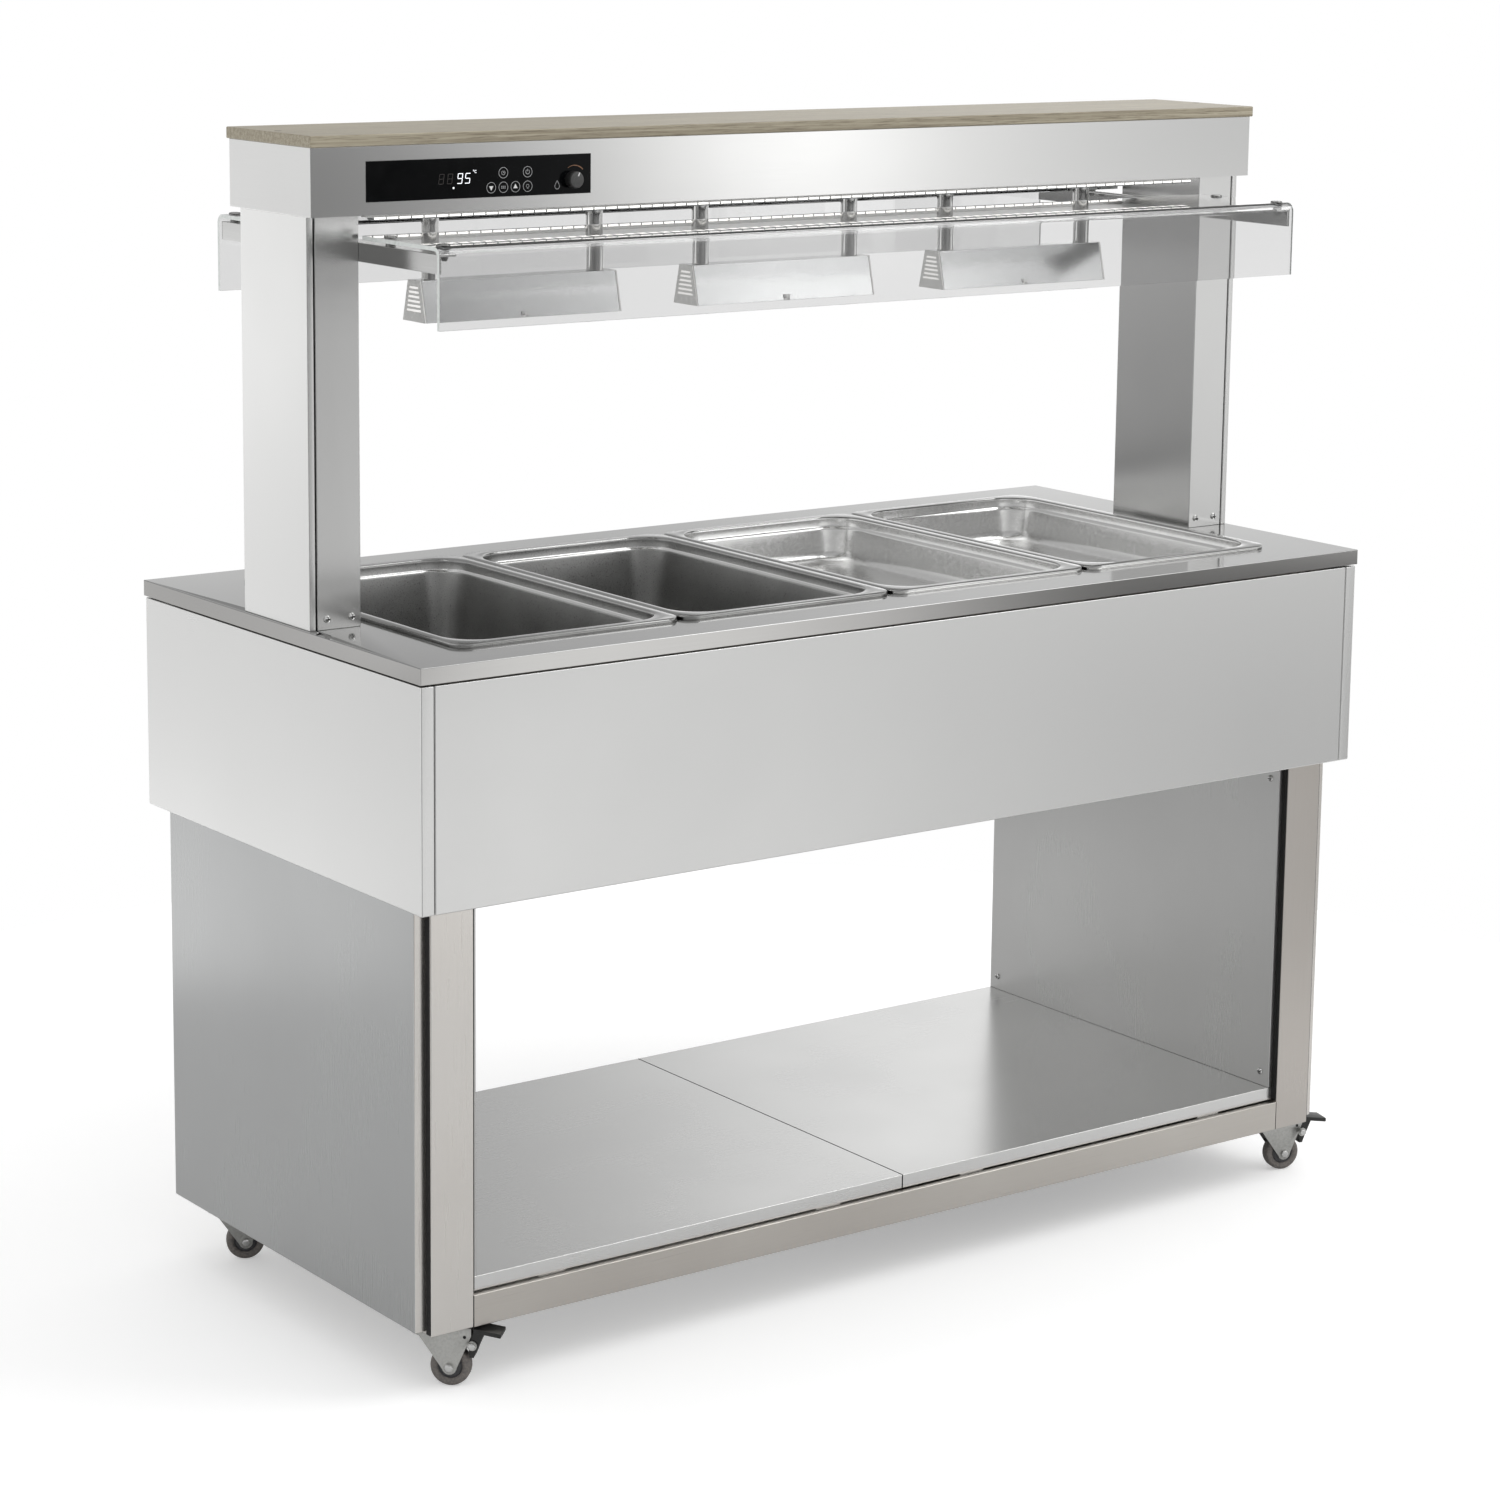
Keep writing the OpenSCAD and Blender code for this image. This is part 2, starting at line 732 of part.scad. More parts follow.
module guard_glass_front() {
    mirror([0, 1, 0]) guard_glass_back();
}

// Angle bars on the uprights' inner faces, from guard to guard
module guard_bars() {
    y = guard_reach - guard_t - 2;
    color("silver") both_x() difference() {
        union() {
            block([upright_in_x - bar_t, -y, bar_top - bar_h], [upright_in_x, y, bar_top]);
            block([upright_in_x - bar_flange, -y, bar_top - 3], [upright_in_x - weld, y, bar_top]);
        }
        both_y() for (sy = guard_screw_y)
            translate([guard_screw_x, sy, bar_top - 4]) cylinder(h = 5, r = 3.3);
    }
}

// Cap screw, spacer and cap nut at each fixing of the glass
module guard_screws() {
    color("silver") both_x() both_y() for (y = guard_screw_y) translate([guard_screw_x, y, 0]) {
        translate([0, 0, guard_z]) cylinder(h = 2.5, r = 8);
        translate([0, 0, bar_top - 9]) cylinder(h = guard_z - bar_top + 9 + weld, r = 3);
        translate([0, 0, bar_top]) cylinder(h = bar_spacer, r = 6);
        translate([0, 0, bar_top - 9]) cylinder(h = 6, r = 4.5);
    }
}

// Outline of a lamp across its length, x across and y up, its mouth at y = 0
module lamp_outline(wall) {
    polygon([[-lamp_mouth_w / 2 + wall, 0], [lamp_mouth_w / 2 - wall, 0],
             [lamp_top_w / 2 - wall, lamp_h - wall], [-lamp_top_w / 2 + wall, lamp_h - wall]]);
}

// Turns a flat outline to stand across the X axis, extruded l long and centred
module across_x(l) {
    rotate([90, 0, 90]) linear_extrude(l, center = true) children();
}

module lamp_housings() {
    color("silver") for (x = lamp_at) translate([x, 0, lamp_z]) difference() {
        across_x(lamp_body_l) lamp_outline(0);
        translate([0, 0, -0.01]) across_x(lamp_body_l + cut) lamp_outline(lamp_wall);
    }
}

// End caps with a ladder of vents
module lamp_end_caps() {
    vents = 6;
    vent_h = 2.6;
    color("gainsboro") for (x = lamp_at, s = [-1, 1])
        translate([x + s * (lamp_l - lamp_cap_t) / 2, 0, lamp_z]) difference() {
            across_x(lamp_cap_t) lamp_outline(0);
            for (i = [0:vents - 1]) {
                z = lamp_h * (0.27 + 0.11 * i);
                w = lamp_mouth_w - (lamp_mouth_w - lamp_top_w) * z / lamp_h - 11;
                translate([0, 0, z]) cube([lamp_cap_t + cut, w, vent_h], center = true);
            }
        }
}

// Quartz tube between two ceramic holders that sit on the end caps
module lamp_tubes() {
    color("orange") for (x = lamp_at) translate([x, 0, lamp_tube_z]) {
        rotate([0, 90, 0]) cylinder(h = lamp_body_l - 20, r = lamp_tube_d / 2, center = true);
        for (s = [-1, 1]) translate([s * (lamp_body_l / 2 - 8), 0, 0]) cube([16, 16, 16], center = true);
    }
}

module lamp_stems() {
    color("silver") for (x = lamp_at, s = [-1, 1])
        translate([x + s * stem_pitch / 2, 0, lamp_top_z]) difference() {
            cylinder(h = stem_l, r = stem_d / 2);
            translate([0, 0, -cut]) cylinder(h = stem_l + 2 * cut, r = stem_d / 2 - 1.5);
        }
}

// Light profiles under the beam with a round-nosed diffuser
module light_strips() {
    color("white") both_y() translate([0, light_pitch / 2, beam_z]) {
        block([-light_l / 2, -light_w / 2, -3], [light_l / 2, light_w / 2, 0]);
        intersection() {
            translate([-light_l / 2, 0, -1]) rotate([0, 90, 0]) cylinder(h = light_l, r = light_h - 1);
            block([-light_l / 2, -light_w / 2, -light_h], [light_l / 2, light_w / 2, 0]);
        }
    }
}

module control_glass() {
    color("black") difference() {
        block([panel_x, panel_y - panel_t, panel_z], [panel_x + panel_l, panel_y, panel_z + panel_h]);
        hole_y([knob_at[0], panel_y, knob_at[1]], knob_shaft_r + fit, 4 * panel_t);
    }
}

// Display and switch board in its case behind the glass
module control_module() {
    color("darkslategray") difference() {
        block([panel_x + window_rim + 2, panel_y, panel_z + 6],
              [panel_x + panel_l - window_rim - 2, panel_y + module_depth, panel_z + panel_h - 6]);
        hole_y([knob_at[0], panel_y, knob_at[1]], knob_shaft_r + run_fit, 2 * (knob_shaft_l + cut));
    }
}

// Knob with its shaft and a pointer notch
module control_knob() {
    face = panel_y - panel_t - knob_lift;
    color("black") translate([knob_at[0], 0, knob_at[1]]) {
        difference() {
            translate([0, face, 0]) rotate([90, 0, 0]) cylinder(h = knob_l, r = knob_d / 2);
            rotate([0, knob_rest, 0])
                block([-0.8, face - knob_l - cut, knob_d / 2 - 6], [0.8, face - knob_l + 0.8, knob_d / 2 + cut]);
        }
        translate([0, panel_y + knob_shaft_l, 0]) rotate([90, 0, 0])
            cylinder(h = knob_shaft_l + panel_t + knob_lift + weld, r = knob_shaft_r);
    }
}

// All plain screws: feet of the uprights, inner side panels and board
module screws() {
    color("gray") {
        both_x() board_screw();
        both_x() both_y() spigot_screws() screw(8);
        both_x() both_y() for (z = liner_screw_z) translate([liner_face_x, liner_screw_y, z])
            rotate([0, -90, 0]) screw(liner_fold + 6);
    }
}

// Rounded block of a pan's body from its floor up to z = 0, grown by grow all round
module pan_body(h, grow) {
    x = pan_w / 2 - pan_rim_w;
    y = pan_l / 2 - pan_rim_w;
    draft = pan_draft * h;
    translate([0, 0, -shoulder_h - grow - weld]) linear_extrude(shoulder_h + grow + weld + cut)
        round_rect(2 * (x + grow), 2 * (y + grow), pan_corner_r + grow);
    hull() {
        for (s = [[shoulder_h, shoulder_in], [h - pan_floor_r, shoulder_in + draft],
                  [h - pan_floor_r * 0.35, shoulder_in + draft + pan_floor_r * 0.24],
                  [h, shoulder_in + draft + pan_floor_r * 0.8]])
            for (i = [-1, 1], j = [-1, 1])
                translate([i * (x - pan_corner_r), j * (y - pan_corner_r), -s[0] - grow])
                    cylinder(h = 0.01, r = pan_corner_r - s[1] + grow, $fn = 32);
    }
}

// Pressed steel pan with a rolled rim, its rim resting on the counter
module pan(i, h) {
    x = (i - (pan_count - 1) / 2) * pan_pitch;
    color("lightsteelblue") translate([x, 0, counter_h + pan_rim_h]) difference() {
        union() {
            translate([0, 0, -pan_rim_h]) linear_extrude(pan_rim_h) round_rect(pan_w, pan_l, rim_r);
            intersection() {
                pan_body(h, 0);
                translate([-pan_w, -pan_l, -2 * h]) cube([2 * pan_w, 2 * pan_l, 2 * h]);
            }
        }
        pan_body(h, -pan_wall);
        translate([0, 0, -pan_rim_h - cut]) linear_extrude(pan_rim_h + cut - pan_wall) difference() {
            round_rect(pan_w - 2 * pan_wall, pan_l - 2 * pan_wall, rim_r - pan_wall);
            round_rect(pan_w - 2 * pan_rim_w, pan_l - 2 * pan_rim_w, pan_corner_r);
        }
    }
}

module pan_1() {
    pan(0, deep_pan_h);
}

module pan_2() {
    pan(1, deep_pan_h);
}

module pan_3() {
    pan(2, shallow_pan_h);
}

module pan_4() {
    pan(3, shallow_pan_h);
}

// Top plates with the kingpin that each fork turns on
module caster_plates() {
    color("lightgray") both_x() both_y() translate([caster_x, caster_y, 0]) {
        block([-caster_plate_w / 2, -caster_plate_w / 2, caster_h - plate_t],
              [caster_plate_w / 2, caster_plate_w / 2, caster_h]);
        translate([0, 0, fork_head_z - fit - king_head[1]])
            cylinder(h = caster_h - fork_head_z + fit + king_head[1] - weld, r = king_r);
        translate([0, 0, fork_head_z - fit - king_head[1]]) cylinder(h = king_head[1], r = king_head[0]);
    }
}

// Puts a caster part, drawn with its swivel on Z and its wheel towards +X, in its place
module caster_place(sx, sy, turn) {
    translate([sx * caster_x, sy * caster_y, 0]) rotate([0, 0, turn]) children();
}

// Side view of a fork's leg, x along the fork and y up
module leg_outline(brake) {
    shoulder = fork_head_z + 4;
    nose = brake ? pivot[0] - 1 : caster_trail + 16;
    polygon([[-fork_head_r + 6, fork_top - 1], [nose, fork_top - 1],
             [nose, shoulder - 4], [caster_trail + 8.5, axle_z - 2],
             [caster_trail - 8, axle_z - 3.5], [-fork_head_r + 8, shoulder - 2]]);
    translate([caster_trail, axle_z]) circle(9);
    if (brake) translate(pivot) circle(6);
}

module fork(brake) {
    inner = fork_half;
    color("darkgray") difference() {
        union() {
            translate([0, 0, fork_head_z]) cylinder(h = fork_head_h, r = fork_head_r);
            for (s = [-1, 1]) translate([0, s * (inner + fork_t / 2), 0]) rotate([90, 0, 0])
                linear_extrude(fork_t, center = true) leg_outline(brake);
            block([0, -inner - weld, fork_top - 3], [caster_trail + 14, inner + weld, fork_top]);
        }
        translate([0, 0, fork_head_z - cut]) cylinder(h = fork_head_h + 2 * cut, r = king_r + run_fit);
        hole_y([caster_trail, 0, axle_z], axle_r + run_fit, 4 * inner);
        if (brake) hole_y([pivot[0], 0, pivot[1]], pivot_r + run_fit, 4 * inner);
    }
}

module wheel() {
    hub_r = 8;
    hub_half = fork_half - fit;
    tread = wheel_w / 2;
    color("dimgray") translate([caster_trail, 0, axle_z]) rotate([90, 0, 0]) rotate_extrude()
        polygon([[axle_r + run_fit, -hub_half], [hub_r, -hub_half], [hub_r, -tread + 1.5],
                 [15, -tread + 1.5], [17, -tread], [axle_z - 2, -tread], [axle_z, -tread + 2.5],
                 [axle_z, tread - 2.5], [axle_z - 2, tread], [17, tread], [15, tread - 1.5],
                 [hub_r, tread - 1.5], [hub_r, hub_half], [axle_r + run_fit, hub_half]]);
}

// Bolt with a hex head and a nut outside the fork's legs
module cross_bolt(at, r, head) {
    reach = fork_half + fork_t;
    translate([at[0], 0, at[1]]) rotate([90, 0, 0]) {
        cylinder(h = 2 * (reach + head), r = r, center = true);
        for (s = [-1, 1]) translate([0, 0, s * (reach + head / 2)])
            cylinder(h = head, r = 1.8 * r, center = true, $fn = 6);
    }
}

module axle(brake) {
    color("gray") {
        cross_bolt([caster_trail, axle_z], axle_r, 3.5);
        if (brake) cross_bolt(pivot, pivot_r, 2.5);
    }
}

// Foot pedal with its brake shoe, hinged between the fork's legs
module pedal() {
    top = caster_h - plate_t - 0.6;
    tip = pivot[0] + pedal_reach;
    tip_top = top - pedal_drop;
    shoe = [caster_trail + 24.5, axle_z + 12.9];
    color("black") difference() {
        rotate([90, 0, 0]) {
            linear_extrude(2 * pedal_half, center = true) {
                polygon([[pivot[0] - 5, pivot[1]], shoe, [shoe[0] + 5, shoe[1]],
                         [pivot[0] + 6, pivot[1] - 4], [pivot[0] + 14, top - 8],
                         [pivot[0] + 14, top - 3], [pivot[0] + 2, top]]);
                translate(pivot) circle(6);
            }
            linear_extrude(2 * pedal_half + 8, center = true)
                polygon([[pivot[0] + 2, top - pedal_t], [tip - 1, tip_top - pedal_t],
                         [tip, tip_top - pedal_t + 1], [tip, tip_top], [pivot[0] + 2, top]]);
        }
        hole_y([pivot[0], 0, pivot[1]], pivot_r + run_fit, 4 * pedal_half);
    }
}

module fork_front_left() {
    caster_place(-1, -1, turn_front_left) fork(true);
}

module fork_front_right() {
    caster_place(1, -1, turn_front_right) fork(true);
}

module fork_back_left() {
    caster_place(-1, 1, turn_back_left) fork(false);
}

module fork_back_right() {
    caster_place(1, 1, turn_back_right) fork(false);
}

module wheel_front_left() {
    caster_place(-1, -1, turn_front_left) wheel();
}

module wheel_front_right() {
    caster_place(1, -1, turn_front_right) wheel();
}

module wheel_back_left() {
    caster_place(-1, 1, turn_back_left) wheel();
}

module wheel_back_right() {
    caster_place(1, 1, turn_back_right) wheel();
}

module axle_front_left() {
    caster_place(-1, -1, turn_front_left) axle(true);
}

module axle_front_right() {
    caster_place(1, -1, turn_front_right) axle(true);
}

module axle_back_left() {
    caster_place(-1, 1, turn_back_left) axle(false);
}

module axle_back_right() {
    caster_place(1, 1, turn_back_right) axle(false);
}

module pedal_front_left() {
    caster_place(-1, -1, turn_front_left) pedal();
}

module pedal_front_right() {
    caster_place(1, -1, turn_front_right) pedal();
}

counter_top();
well_tank();
well_heater();
drain_outlet();
bottom_cover();
skirt_front();
skirt_back();
skirt_left();
skirt_right();
end_panel_left();
end_panel_right();
liner_left();
liner_right();
post_front_left();
post_front_right();
post_back_left();
post_back_right();
bottom_rails();
top_frame();
shelf_left();
shelf_right();
upright_left();
upright_right();
upright_covers();
beam_shell();
beam_tray();
top_board();
guard_glass_front();
guard_glass_back();
guard_bars();
guard_screws();
lamp_housings();
lamp_end_caps();
lamp_tubes();
lamp_stems();
light_strips();
control_glass();
control_module();
control_knob();
screws();
cable_gland();
pan_1();
pan_2();
pan_3();
pan_4();
caster_plates();
fork_front_left();
fork_front_right();
fork_back_left();
fork_back_right();
wheel_front_left();
wheel_front_right();
wheel_back_left();
wheel_back_right();
axle_front_left();
axle_front_right();
axle_back_left();
axle_back_right();
pedal_front_left();
pedal_front_right();
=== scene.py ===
import json
import math

import bmesh
import bpy
from mathutils import Matrix, Vector

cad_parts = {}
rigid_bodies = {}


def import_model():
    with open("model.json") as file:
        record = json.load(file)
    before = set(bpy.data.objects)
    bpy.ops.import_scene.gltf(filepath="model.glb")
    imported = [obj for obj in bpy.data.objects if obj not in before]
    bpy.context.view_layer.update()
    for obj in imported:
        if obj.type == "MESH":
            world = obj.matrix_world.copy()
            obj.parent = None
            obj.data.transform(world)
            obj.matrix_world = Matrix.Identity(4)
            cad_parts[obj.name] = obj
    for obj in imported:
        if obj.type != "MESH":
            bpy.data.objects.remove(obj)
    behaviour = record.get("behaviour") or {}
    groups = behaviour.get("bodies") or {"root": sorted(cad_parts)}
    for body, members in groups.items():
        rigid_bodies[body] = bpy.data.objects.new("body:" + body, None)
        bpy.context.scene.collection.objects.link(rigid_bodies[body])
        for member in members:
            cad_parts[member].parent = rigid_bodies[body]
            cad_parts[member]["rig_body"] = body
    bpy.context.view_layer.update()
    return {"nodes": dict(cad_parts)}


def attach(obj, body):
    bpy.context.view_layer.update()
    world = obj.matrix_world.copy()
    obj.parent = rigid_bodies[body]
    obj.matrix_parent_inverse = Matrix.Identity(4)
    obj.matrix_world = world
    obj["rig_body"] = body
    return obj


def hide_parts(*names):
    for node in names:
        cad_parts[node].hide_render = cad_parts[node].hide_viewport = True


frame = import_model()
mm = 0.001
rad = math.radians
bothSides = (1, -1)
fourCorners = [(sideX, sideY) for sideX in bothSides for sideY in bothSides]
print("frame loaded")


# Camera as solved from the photograph's edges; its shift is smaller than the photograph's, so other views stay whole
cameraView = {
    "place": (-2.97537, -3.99738, 1.77497), "turn": (79.9496, -0.6657, -36.2247),
    "sensor": 36, "lens": 91.509, "shiftY": -0.12, "near": 0.05, "far": 200,
}
camera = bpy.data.objects.new("camera", bpy.data.cameras.new("camera"))
bpy.context.scene.collection.objects.link(camera)
camera.location = cameraView["place"]
camera.rotation_euler = [rad(a) for a in cameraView["turn"]]
camera.data.sensor_width = cameraView["sensor"]
camera.data.lens = cameraView["lens"]
camera.data.shift_y = cameraView["shiftY"]
camera.data.clip_start, camera.data.clip_end = cameraView["near"], cameraView["far"]
bpy.context.scene.camera = camera
bpy.context.scene.view_settings.view_transform = "Standard"


def tone(code):
    # sRGB hex to the linear colour that a socket takes
    parts = [int(code[i : i + 2], 16) / 255 for i in (1, 3, 5)]
    return [c / 12.92 if c <= 0.04045 else ((c + 0.055) / 1.055) ** 2.4 for c in parts] + [1.0]


def addNode(tree, kind, values=None, links=None, **settings):
    node = tree.nodes.new("ShaderNode" + kind)
    for key, value in settings.items():
        setattr(node, key, value)
    for key, value in (values or {}).items():
        node.inputs[key].default_value = value
    for key, source in (links or {}).items():
        tree.links.new(source, node.inputs[key])
    return node


def newFinish(name, **plain):
    # a Principled finish; the keywords are its socket names with the spaces as underscores
    finish = bpy.data.materials.new(name)
    finish.use_nodes = True
    shader = finish.node_tree.nodes["Principled BSDF"]
    for key, value in plain.items():
        shader.inputs[key.replace("_", " ")].default_value = value
    return finish, finish.node_tree, shader


def dress(tree, shader, tint, gloss, height, relief, depth):
    # gives a finish its colour, roughness and relief; the depth is in mm
    bump = addNode(tree, "Bump", {"Strength": relief, "Distance": depth * mm}, {"Height": height})
    for key, source in (("Base Color", tint), ("Roughness", gloss), ("Normal", bump.outputs["Normal"])):
        tree.links.new(source, shader.inputs[key])


def stretched(tree, axis, across, along):
    # object coordinates in strokes: `across` mm wide and `along` mm long on the brushing axis
    scale = [1 / (across * mm)] * 3
    scale["XYZ".index(axis)] = 1 / (along * mm)
    spot = addNode(tree, "TexCoord").outputs["Object"]
    return addNode(tree, "Mapping", {"Scale": scale}, {"Vector": spot}).outputs["Vector"]


def brushedMetal(name, light, dark, rough, axis, stroke, relief, grain, scratches=0, worn=None):
    # belt-ground sheet: fine straight strokes and a slow cloudiness, still sharp enough to mirror near things
    finish, tree, shader = newFinish(name, Metallic=1.0)
    strokes = addNode(tree, "TexNoise", {"Scale": 1.0, "Detail": 3.0, "Roughness": 0.65},
                      {"Vector": stretched(tree, axis, stroke, stroke * 70)}).outputs["Fac"]
    clouds = addNode(tree, "TexNoise", {"Scale": 3.1, "Detail": 3.0, "Roughness": 0.5},
                     {"Vector": addNode(tree, "TexCoord").outputs["Object"]}).outputs["Fac"]
    mixed = addNode(tree, "Math", {1: grain}, {0: strokes}, operation="MULTIPLY")
    mixed = addNode(tree, "Math", {1: 1 - grain}, {0: clouds, 2: mixed.outputs[0]}, operation="MULTIPLY_ADD")
    mixed = mixed.outputs[0]
    spread = addNode(tree, "MapRange", {"From Min": 0.33, "From Max": 0.67}, {"Value": mixed})
    tint = addNode(tree, "MixRGB", {"Color1": tone(dark), "Color2": tone(light)},
                   {"Fac": spread.outputs[0]}).outputs["Color"]
    ends = {"From Min": 0.3, "From Max": 0.7, "To Min": rough * 1.06, "To Max": rough * 0.94}
    gloss = addNode(tree, "MapRange", ends, {"Value": mixed}).outputs[0]
    if scratches:
        # hairlines of handling, drawn 0.6 mm wide, several times coarser than real ones
        scuffs = addNode(tree, "TexNoise", {"Scale": 1.0, "Detail": 2.0, "Distortion": 0.6},
                         {"Vector": stretched(tree, axis, 2.4, 90)})
        lines = addNode(tree, "MapRange", {"From Min": 0.66, "From Max": 0.72, "To Max": scratches},
                        {"Value": scuffs.outputs["Fac"]}).outputs[0]
        gloss = addNode(tree, "Math", {}, {0: gloss, 1: lines}, operation="ADD").outputs[0]
        tint = addNode(tree, "MixRGB", {"Color2": tone(worn)}, {"Fac": lines, "Color1": tint}).outputs["Color"]
    dress(tree, shader, tint, gloss, strokes, relief, 0.1)
    return finish


# Brushed sheet: light and dark tone, roughness, brushing axis, stroke in mm, relief, share of the strokes in the
# mottle, then scratches and their tone. Strokes are drawn ten times too coarse: real ones are finer than a pixel
brushedLooks = {
    # the counter's top and turned-down edge are one sheet in two tones: painted shade on the top, a painted highlight
    # on the edge
    "counter": ("#A9A9A8", "#A4A4A3", 0.1, "X", 1.3, 0.01, 0.25),
    "counterEdge": ("#C2C1BF", "#BBBAB8", 0.09, "X", 1.3, 0.01, 0.25),
    # skirts and end panels are one stainless sheet brushed along its length: painted lighter on the side skirts and
    # painted darker on the end panels, as painted light and shade
    "panelX": ("#D9D9D8", "#D5D5D4", 0.24, "X", 1.3, 0.006, 0.2),
    "panelY": ("#E6E6E5", "#E2E2E1", 0.26, "Y", 1.3, 0.006, 0.2),
    "panelLow": ("#BCBDBD", "#B7B8B8", 0.28, "Z", 1.3, 0.006, 0.2),
    # the frame's steel and its lighter copy are one metal: the copy is painted light, on the front left and back right
    # posts and on the end panels' front folds
    "frame": ("#C4BFBA", "#BBB6B0", 0.28, "Z", 1.6, 0.012, 0.25, 0.16, "#A8A29C"),
    "frameLit": ("#DCD9D5", "#D3CFCA", 0.26, "Z", 1.6, 0.012, 0.25, 0.12, "#B8B3AD"),
    "rail": ("#C8C4BE", "#BDB8B2", 0.30, "X", 1.6, 0.012, 0.25, 0.2, "#A7A29B"),
    "shelf": ("#DADAD9", "#D4D4D3", 0.27, "X", 1.3, 0.006, 0.2),
    "liner": ("#C6C6C5", "#C0C0BF", 0.28, "Z", 1.3, 0.006, 0.2),
    "upright": ("#D2D2D1", "#CECECD", 0.22, "Z", 1.6, 0.004, 0.15),
    # cover: the upright's steel painted near white on the covers' sides, a painted highlight; their front and back
    # faces keep the upright's tone
    "cover": ("#F0F0EF", "#ECECEB", 0.24, "Z", 1.6, 0.006, 0.2),
    "beam": ("#D6D6D5", "#D2D2D1", 0.13, "X", 1.2, 0.008, 0.2),
    # the beam's end faces: the same steel brushed across and painted lighter, a painted highlight
    "beamEnd": ("#E6E6E5", "#DFDFDE", 0.3, "Y", 1.2, 0.01, 0.2),
    "well": ("#C8C8C6", "#BABAB8", 0.35, "X", 2.0, 0.12, 0.4),
    "bars": ("#CDCDCC", "#C2C2C1", 0.16, "Y", 1.2, 0.04, 0.4),
}
finishes = {}
for key, look in brushedLooks.items():
    finishes[key] = brushedMetal("brushedStainless" + key[0].upper() + key[1:], *look)
finishes["lamp"] = brushedMetal("brushedAluminium", "#D4D5D5", "#CECFCF", 0.13, "X", 1.4, 0.004, 0.2)


def mottledFinish(name, light, dark, rough, grain, relief, metal=False, **plain):
    # no direction in the surface, only a mottle in tone, gloss and relief, its grain in mm
    detail, harshness, swing = (4.0, 0.6, 0.2) if metal else (3.0, 0.55, 0.12)
    finish, tree, shader = newFinish(name, Metallic=float(metal), **plain)
    spot = addNode(tree, "TexCoord").outputs["Object"]
    mottle = addNode(tree, "TexNoise", {"Scale": 1 / (grain * mm), "Detail": detail, "Roughness": harshness},
                     {"Vector": spot}).outputs["Fac"]
    mixed, low, high = mottle, 0.35, 0.65
    if metal:
        slow = addNode(tree, "TexNoise", {"Scale": 9.0, "Detail": 2.0}, {"Vector": spot}).outputs["Fac"]
        mixed = addNode(tree, "Math", {}, {0: mottle, 1: slow}, operation="ADD").outputs[0]
        low, high = 0.75, 1.25
    spread = addNode(tree, "MapRange", {"From Min": low, "From Max": high}, {"Value": mixed})
    tint = addNode(tree, "MixRGB", {"Color1": tone(dark), "Color2": tone(light)}, {"Fac": spread.outputs[0]})
    gloss = addNode(tree, "MapRange", {"From Min": 0.35, "From Max": 0.65, "To Min": rough * (1 - swing),
                                       "To Max": rough * (1 + swing)}, {"Value": mottle})
    dress(tree, shader, tint.outputs["Color"], gloss.outputs[0], mottle, relief, 0.2)
    return finish


# Metal without strokes, deep-drawn, turned or plated: name, tones, roughness, grain in mm, relief
smoothMetals = {
    # shallow pans keep the satin of the sheet, their reflection broad and soft; their tone is painted paler, as
    # painted light
    "panSatin": ("shallowPanStainlessPaintedLight", "#DEDEDD", "#D9D9D8", 0.22, 5.0, 0.001),
    # the deep walls: the same steel painted darker, as painted shade deep in the pans; grainy and hardly mirroring
    "panWall": ("deepPanStainlessPaintedShade", "#B0B0AF", "#989897", 0.32, 1.3, 0.22),
    # rolled rims keep a polish: near mirror, so they read as fine bright and dark lines; their tone is painted darker,
    # a painted dark reflection
    "panRim": ("rimStainlessPaintedDark", "#A2A2A1", "#969695", 0.1, 3.5, 0.02),
    # the shoulder is polished and painted brighter than the wall, a painted highlight: it carries the long thin
    # highlight
    "panShoulder": ("shoulderStainlessPaintedHighlight", "#DCDCDB", "#D0D0CF", 0.13, 2.0, 0.03),
    "zinc": ("zincPlatedSteel", "#BEBEBB", "#A2A29F", 0.36, 3.0, 0.15),  # dull and slightly cloudy
    "bolt": ("polishedStainlessBolt", "#D2D2D1", "#C0C0BF", 0.1, 1.2, 0.03),  # sharp dark and bright bands
    # the guard screws: polished stainless like the bolts, painted darker as a painted dark reflection
    "domeNut": ("stainlessScrewPaintedDark", "#8A8A89", "#787877", 0.16, 1.2, 0.03),
    # blasted so that it scatters the light of the strips, no mirror image; its even pale tone is painted light, paler
    # than the beam's steel
    "tray": ("blastedStainlessPaintedPale", "#F2F2F1", "#E6E6E5", 0.55, 1.2, 0.1),
    "element": ("oxidisedHeatingTube", "#6B6560", "#4A4541", 0.5, 4.0, 0.3),  # brown-grey scale from its own heat
}
